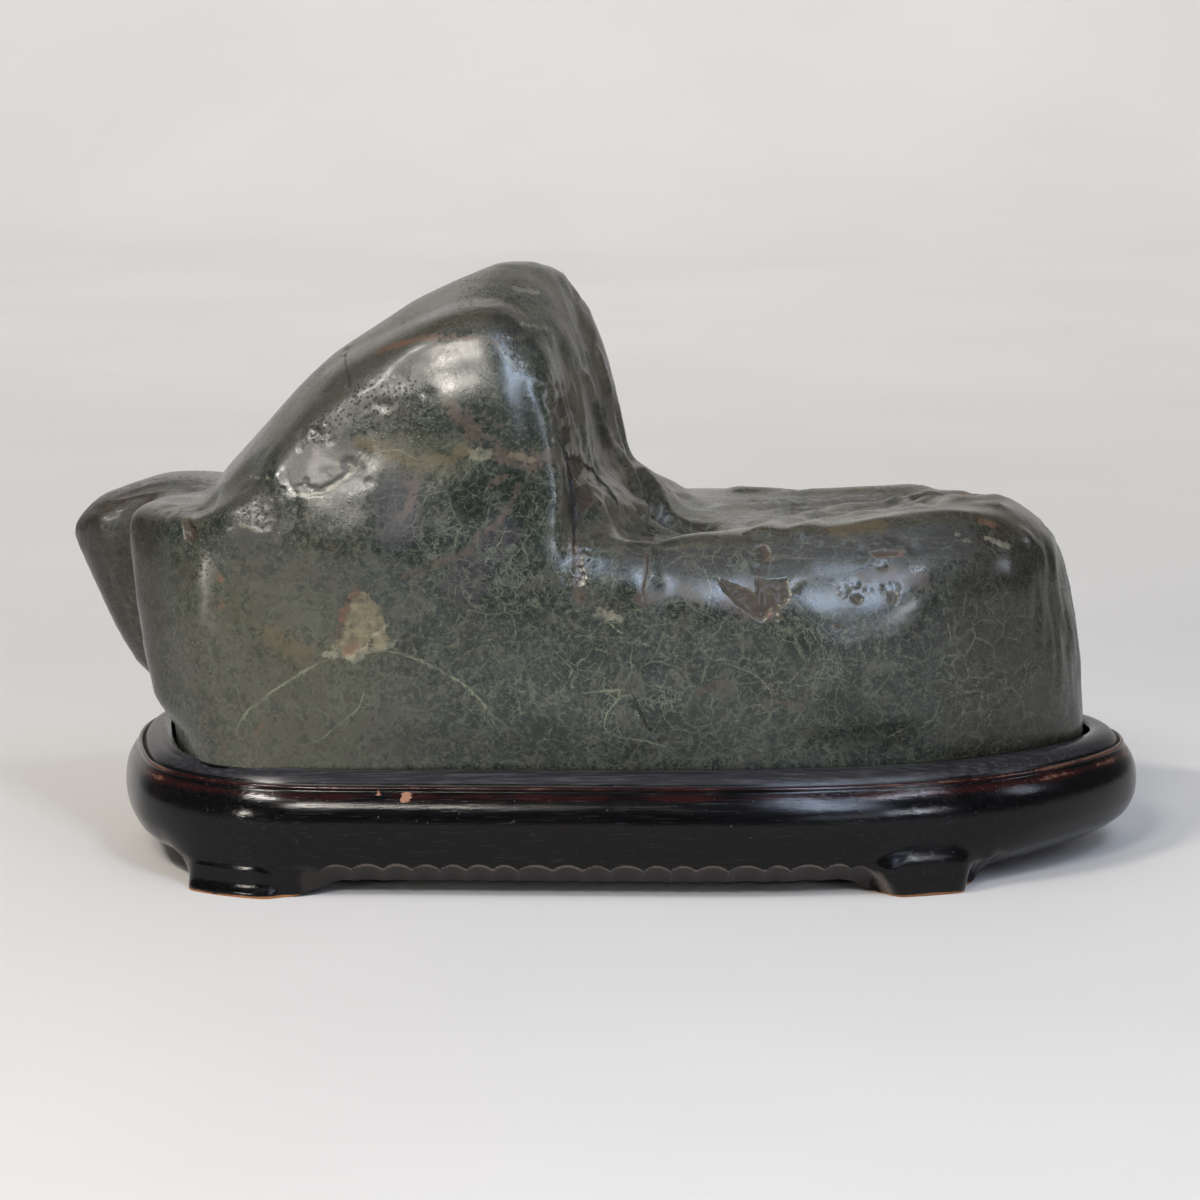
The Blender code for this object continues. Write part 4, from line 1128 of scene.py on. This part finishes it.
def serpentine():
    """Serpentine, worn by water and waxed by hand: a nearly black green, clouded paler and
    webbed with fine pale threads; under the wax it shines softly, except where the skin
    has flaked and rust has got in."""
    skin = Finish("waxed_serpentine", "#1f2622", STONE_MARKS)
    for name, (source, width, bend) in STONE_BENDS.items():
        skin.add("drift", "TexNoise", {"Vector": source, "Scale": 1 / width, "Detail": 5.0}, out="Color")
        skin.add(name, "VectorMath", {0: "drift", 1: (bend, bend, bend), 2: source},
                 operation="MULTIPLY_ADD")
    for name, (width, detail, rough, at) in STONE_GRAIN.items():
        skin.add(name, "TexNoise", {"Vector": at, "Scale": 1 / width, "Detail": detail,
                                    "Roughness": rough})
    # The ragged field frays edges: about 0 on average, and rarely past 0.3 either way.
    skin.add("ragged", "Math", {0: "mottle", 1: 1.0, 2: -1.0}, operation="MULTIPLY_ADD")
    skin.add("ragged", "Math", {0: "fine", 1: 1.0, 2: "ragged"}, operation="MULTIPLY_ADD")
    for name, (source, low, high, least) in STONE_MASKS.items():
        skin.add(name, "MapRange", {"Value": source, "From Min": low, "From Max": high, "To Min": least})

    skin.field["threads"] = 0.0
    for width, thick, strength in STONE_THREADS:
        skin.add("line", "TexNoise", {"Vector": "bent", "Scale": 1 / width, "Detail": 7.0,
                                      "Roughness": 0.52})
        skin.add("line", "Math", {0: "line", 1: 0.5}, operation="SUBTRACT")
        skin.add("line", "Math", {0: "line"}, operation="ABSOLUTE")
        skin.add("line", "MapRange", {"Value": "line", "From Max": thick, "To Min": strength,
                                      "To Max": 0.0})
        skin.add("breaks", "TexNoise", {"Vector": "place", "Scale": 0.6 / width, "Detail": 3.0})
        skin.add("breaks", "MapRange", {"Value": "breaks", "From Min": 0.42, "From Max": 0.60})
        skin.add("line", "Math", {0: "line", 1: "breaks"}, operation="MULTIPLY")
        skin.add("threads", "Math", {0: "threads", 1: "line"}, operation="MAXIMUM")
    # The web: the seams between the cells of the healed rock, thick and thin by turns.
    for width, thick, strength in STONE_SEAMS:
        skin.add("seam", "TexVoronoi", {"Vector": "bent", "Scale": 1 / width}, out="Distance",
                 feature="DISTANCE_TO_EDGE")
        skin.add("seam", "Math", {0: "ragged", 1: 0.10, 2: "seam"}, operation="MULTIPLY_ADD")
        skin.add("seam", "Math", {0: "seam"}, operation="ABSOLUTE")
        skin.add("seam", "MapRange", {"Value": "seam", "From Max": thick, "To Min": strength,
                                      "To Max": 0.0})
        skin.add("seam", "Math", {0: "seam", 1: "tuft_soft"}, operation="MULTIPLY")
        skin.add("threads", "Math", {0: "threads", 1: "seam"}, operation="MAXIMUM")
    skin.add("net_share", "MapRange", {"Value": "net", "To Min": 0.40, "To Max": 1.0})
    # Streaks, as the water wore them along the stone.
    skin.add("along", "VectorMath", {0: "swept", 1: (STREAK_STRETCH, STREAK_STRETCH, 1.0)},
             operation="MULTIPLY")
    skin.add("streak", "TexNoise", {"Vector": "along", "Scale": 1 / STREAK_WIDTH, "Detail": 5.0,
                                    "Roughness": 0.65})

    skin.field["patch"] = 0.0
    for width, share in STONE_PATCHES:
        skin.add("cell", "TexVoronoi", {"Vector": "bent", "Scale": 1 / width}, out="Color")
        skin.add("patch", "Math", {0: "cell", 1: share, 2: "patch"}, operation="MULTIPLY_ADD")

    # A drawn vein thickens and thins on its way, and is lost here and there.
    skin.add("wander", "Math", {0: "ragged", 1: VEIN_WANDER, 2: "vein_side"}, operation="MULTIPLY_ADD")
    skin.add("wander", "Math", {0: "wander"}, operation="ABSOLUTE")
    for name, source, low, high in (("on_line", "wander", 0.3, 1.3), ("close_by", "vein_near", 2.0, 4.0)):
        skin.add(name, "MapRange", {"Value": source, "From Min": low, "From Max": high, "To Min": 1.0,
                                    "To Max": 0.0})
    skin.add("vein_line", "Math", {0: "on_line", 1: "close_by"}, operation="MULTIPLY")

    skin.add("chip_edge", "Math", {0: "chip"}, operation="ABSOLUTE")
    # Pocks: small round holes of about a millimetre, thick in the speckled places.
    skin.add("dot", "TexVoronoi", {"Vector": "place", "Scale": 1 / POCK_SPACING}, out="Distance")
    skin.add("dot", "Math", {0: "ragged", 1: 0.6, 2: "dot"}, operation="MULTIPLY_ADD")
    skin.add("dot", "MapRange", {"Value": "dot", "From Min": 0.16, "From Max": 0.36, "To Min": 1.0,
                                 "To Max": 0.0})
    skin.add("crowd", "Math", {0: "gap", 1: 0.9, 2: "speckle"}, operation="MULTIPLY_ADD")
    skin.add("crowd", "Math", {0: "ragged", 1: 1.2, 2: "crowd"}, operation="MULTIPLY_ADD")
    skin.add("crowd", "MapRange", {"Value": "crowd", "From Min": 0.62, "From Max": 1.05})
    skin.add("pocks", "Math", {0: "dot", 1: "crowd"}, operation="MULTIPLY")

    skin.add("gloss", "MapRange", {"Value": "cloud", "From Min": 0.3, "From Max": 0.7, "To Min": 0.19,
                                   "To Max": 0.28})
    skin.lay(STONE_COATS)
    skin.emboss(STONE_RELIEF)
    skin.feed(skin.shader, {"Base Color": "colour", "Roughness": "gloss", "Normal": "bump", "IOR": 1.5,
                            "Coat Weight": 0.15, "Coat Roughness": 0.17, "Coat IOR": 1.45})
    return skin.material


WOOD_MARKS = ["worn", "band", "gouged", "arris", "groove", "nick", "sole"]
# Patterns in the wood and its lacquer: width in millimetres, detail, roughness, and whether
# it is drawn out along the grain.
WOOD_GRAIN = {
    "fibres": (0.7, 4.0, 0.65, "along"),
    "brushed": (2.4, 3.0, 0.55, "along"),
    "scratch": (0.35, 2.0, 0.50, "along"),
    "patches": (14.0, 6.0, 0.60, "place"),
    "uneven": (3.0, 4.0, 0.50, "place"),
    "specks": (0.9, 2.0, 0.50, "place"),
}
GRAIN_STRETCH = 0.05  # the grain runs along the stand, drawn out twenty times that way
WOOD_COATS = [
    ("clouded", "fibres", 0.0, 0.42, 0.72, 0.80, None, "#0b090b", 0.24),
    # The band inside the groove: dulled, and painted a lighter blue-grey with streaks along the grain, as
    # a painted reflection of the room above.
    ("dulled_band_painted_sheen", "band", 0.3, 0.2, 0.8, 0.85, None, "#222124", 0.30),
    ("band_grain_painted_sheen", "fibres", 0.0, 0.46, 0.66, 0.65, "band", "#413f42", 0.28),
    ("rubbed", "worn", 2.4, 0.30, 1.00, 0.70, None, "#290f0f", 0.10),
    ("rubbed_bare", "worn", 1.8, 1.00, 1.30, 0.70, None, "#5d4233", 0.36),
    ("scraped", "gouged", 0.5, 0.25, 0.75, 0.85, None, "#272120", 0.44),
    # Edges of the gouge rims and the feet: lighter where the lacquer wears, and painted glints that those
    # edges catch.
    ("rubbed_arris_and_glint", "arris", 1.2, 0.35, 0.95, 0.70, None, "#665c55", 0.34),
    # The groove beside the bead, painted near black and duller than the band and bead beside it.
    ("groove_near_black", "groove", 0.0, 0.1, 0.9, 0.90, None, "#040303", 0.40),
    ("scratched", "scratch", 0.0, 0.60, 0.74, 0.20, None, "#3d3c40", 0.30),
    ("dusted", "specks", 0.0, 0.72, 0.80, 0.35, None, "#6b625a", 0.50),
    ("bare", "sole", 1.8, 0.5, 0.8, 0.95, None, "#8c5f3c", 0.60),
    ("knocked", "nick", 1.8, 0.45, 0.62, 0.90, None, "#8a5f47", 0.55),
]
WOOD_RELIEF = [("fibres", 0.030), ("brushed", 0.022), ("uneven", 0.02), ("dusted", 0.03),
               ("scratched", 0.02)]


def lacquered_wood():
    """Hardwood under near-black lacquer, rubbed by years of dusting: the grain shows as
    fine lines in the gloss, red-brown comes through on the bead and the shoulder, and
    bare wood where it stands."""
    wood = Finish("lacquered_hardwood", "#040405", WOOD_MARKS)
    wood.add("along", "VectorMath", {0: "place", 1: (GRAIN_STRETCH, 1.0, 1.0)}, operation="MULTIPLY")
    for name, (width, detail, rough, at) in WOOD_GRAIN.items():
        wood.add(name, "TexNoise", {"Vector": at, "Scale": 1 / width, "Detail": detail,
                                    "Roughness": rough})
    wood.add("ragged", "Math", {0: "patches", 1: 1.0, 2: -0.75}, operation="MULTIPLY_ADD")
    wood.add("ragged", "Math", {0: "fibres", 1: 0.5, 2: "ragged"}, operation="MULTIPLY_ADD")
    wood.add("gloss", "MapRange", {"Value": "patches", "From Min": 0.3, "From Max": 0.7, "To Min": 0.11,
                                   "To Max": 0.19})
    wood.lay(WOOD_COATS)
    wood.emboss(WOOD_RELIEF)
    wood.feed(wood.shader, {"Base Color": "colour", "Roughness": "gloss", "Normal": "bump", "IOR": 1.5,
                            "Specular IOR Level": 0.25})
    return wood.material


PLASTER_CLOUDS = 180.0  # width of a cloud in millimetres


def plaster():
    """Pale smooth plaster for the floor and what stands behind it: softly clouded."""
    wall = Finish("pale_plaster", "#bfbdba")
    wall.add("cloud", "TexNoise", {"Vector": "place", "Scale": 1 / PLASTER_CLOUDS, "Detail": 6.0})
    wall.add("colour", "Mix", {0: "cloud", 6: "colour", 7: linear("#cccac7")}, out=2, data_type="RGBA")
    wall.feed(wall.shader, {"Base Color": "colour", "Roughness": 0.75})
    return wall.material


# ==== Stage, light and camera =======================================================

FLOOR_HALF_WIDTH = 3.0
FLOOR_FRONT = -7.0
BACKDROP = 2.2  # where the backdrop stands
BACKDROP_HEIGHT = 2.4
COVE = 0.6  # radius of the sweep between floor and backdrop
COVE_STEPS = 16
AIM = Vector((-0.00129, -0.00007, 0.06156))  # what the camera looks at
CAMERA_DISTANCE = 1.0
CAMERA_RISE = 10.0  # degrees above level
CAMERA_SENSOR = 36.0
CAMERA_LENS = 121.05


def make_stage():
    """A floor that sweeps up into a backdrop."""
    line = [(FLOOR_FRONT, 0.0)]
    for step in range(COVE_STEPS + 1):
        turn = math.radians(90) * step / COVE_STEPS
        line.append((BACKDROP - COVE + COVE * math.sin(turn), COVE - COVE * math.cos(turn)))
    line.append((BACKDROP, BACKDROP_HEIGHT))
    shape = bmesh.new()
    rows = [[shape.verts.new((x, y, z)) for x in (-FLOOR_HALF_WIDTH, FLOOR_HALF_WIDTH)] for y, z in line]
    for (a, b), (c, d) in zip(rows, rows[1:]):
        shape.faces.new((a, b, d, c))
    mesh = mesh_of("studio_sweep", shape)
    mesh.shade_smooth()
    sweep = new_object("studio_sweep", mesh)
    mesh.materials.append(plaster())


def towards(azimuth, elevation, distance):
    """A point seen from the object in this direction: 0 is the display side, 90 the right."""
    turn, rise = math.radians(azimuth), math.radians(elevation)
    return AIM + distance * Vector((math.sin(turn) * math.cos(rise), -math.cos(turn) * math.cos(rise),
                                    math.sin(rise)))


def softbox(name, azimuth, elevation, distance, size, power, colour, mirrored, faces=AIM):
    """A flat oval light. An unmirrored one lights what it faces, but leaves no gleam."""
    light = bpy.data.lights.new(name, "AREA")
    light.shape = "ELLIPSE"
    light.size, light.size_y = size
    light.energy = power
    light.color = linear(colour)[:3]
    lamp = new_object(name, light)
    lamp.location = towards(azimuth, elevation, distance)
    lamp.rotation_euler = (faces - lamp.location).to_track_quat("-Z", "Y").to_euler()
    lamp.visible_glossy = mirrored


# The lights, each seen from the object: azimuth, elevation, distance, width and height in
# metres, power, colour, whether polished surfaces mirror it, and the place it faces, where
# that isn't the object.
LIGHTS = {
    "left_softbox": (-17, 35, 1.4, (0.33, 0.21), 8.2, "#fff8ee", True),
    "left_high": (-47, 46, 1.4, (0.38, 0.035), 9.0, "#fffaf2", True),
    "left_low": (-45, 8, 1.4, (0.06, 0.06), 2.6, "#fff8ee", True),
    "right_window": (22, 38, 1.4, (0.20, 0.84), 8.2, "#d3e4ff", True),
    "right_side": (80, 26, 1.4, (0.20, 0.40), 1.5, "#e6eeff", True),
    "right_high": (43, 48, 1.4, (0.40, 0.03), 2.6, "#e6eeff", True),
    "right_low": (35, 12, 1.4, (0.22, 0.06), 2.2, "#eef3ff", True),
    "front_low": (22, 8, 1.4, (0.24, 0.14), 0.4, "#dbe8ff", True),
    "ceiling": (0, 78, 2.1, (2.7, 1.1), 3.9, "#e8eeff", True),
    "sky_panel": (-75, 55, 2.4, (1.4, 1.4), 7.8, "#fffaf4", False),
    "backdrop_wash": (180, 60, 1.9, (3.6, 0.8), 43.0, "#ffffff", False, Vector((0.0, BACKDROP, 0.9))),
}
ROOM_COLOUR = "#dcdcde"
ROOM_STRENGTH = 0.14


def make_light():
    for name, given in LIGHTS.items():
        softbox(name, *given)
    world = bpy.data.worlds.new("pale_room")
    bpy.context.scene.world = world
    world.use_nodes = True
    back = world.node_tree.nodes["Background"]
    back.inputs["Color"].default_value = linear(ROOM_COLOUR)
    back.inputs["Strength"].default_value = ROOM_STRENGTH


def make_camera():
    camera = new_object("camera", bpy.data.cameras.new("camera"))
    camera.data.sensor_width = CAMERA_SENSOR
    camera.data.lens = CAMERA_LENS
    camera.location = towards(0.0, CAMERA_RISE, CAMERA_DISTANCE)
    camera.rotation_euler = (AIM - camera.location).to_track_quat("-Z", "Y").to_euler()
    bpy.context.scene.camera = camera


# ==== The whole =====================================================================

bpy.context.scene.view_settings.view_transform = "Standard"
make_camera()
make_light()
make_stage()

stone = make_stone()
stone.data.materials.append(serpentine())
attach(stone, "root")
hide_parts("stone")

stand = make_stand()
stand.data.materials.append(lacquered_wood())
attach(stand, "root")
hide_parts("stand")
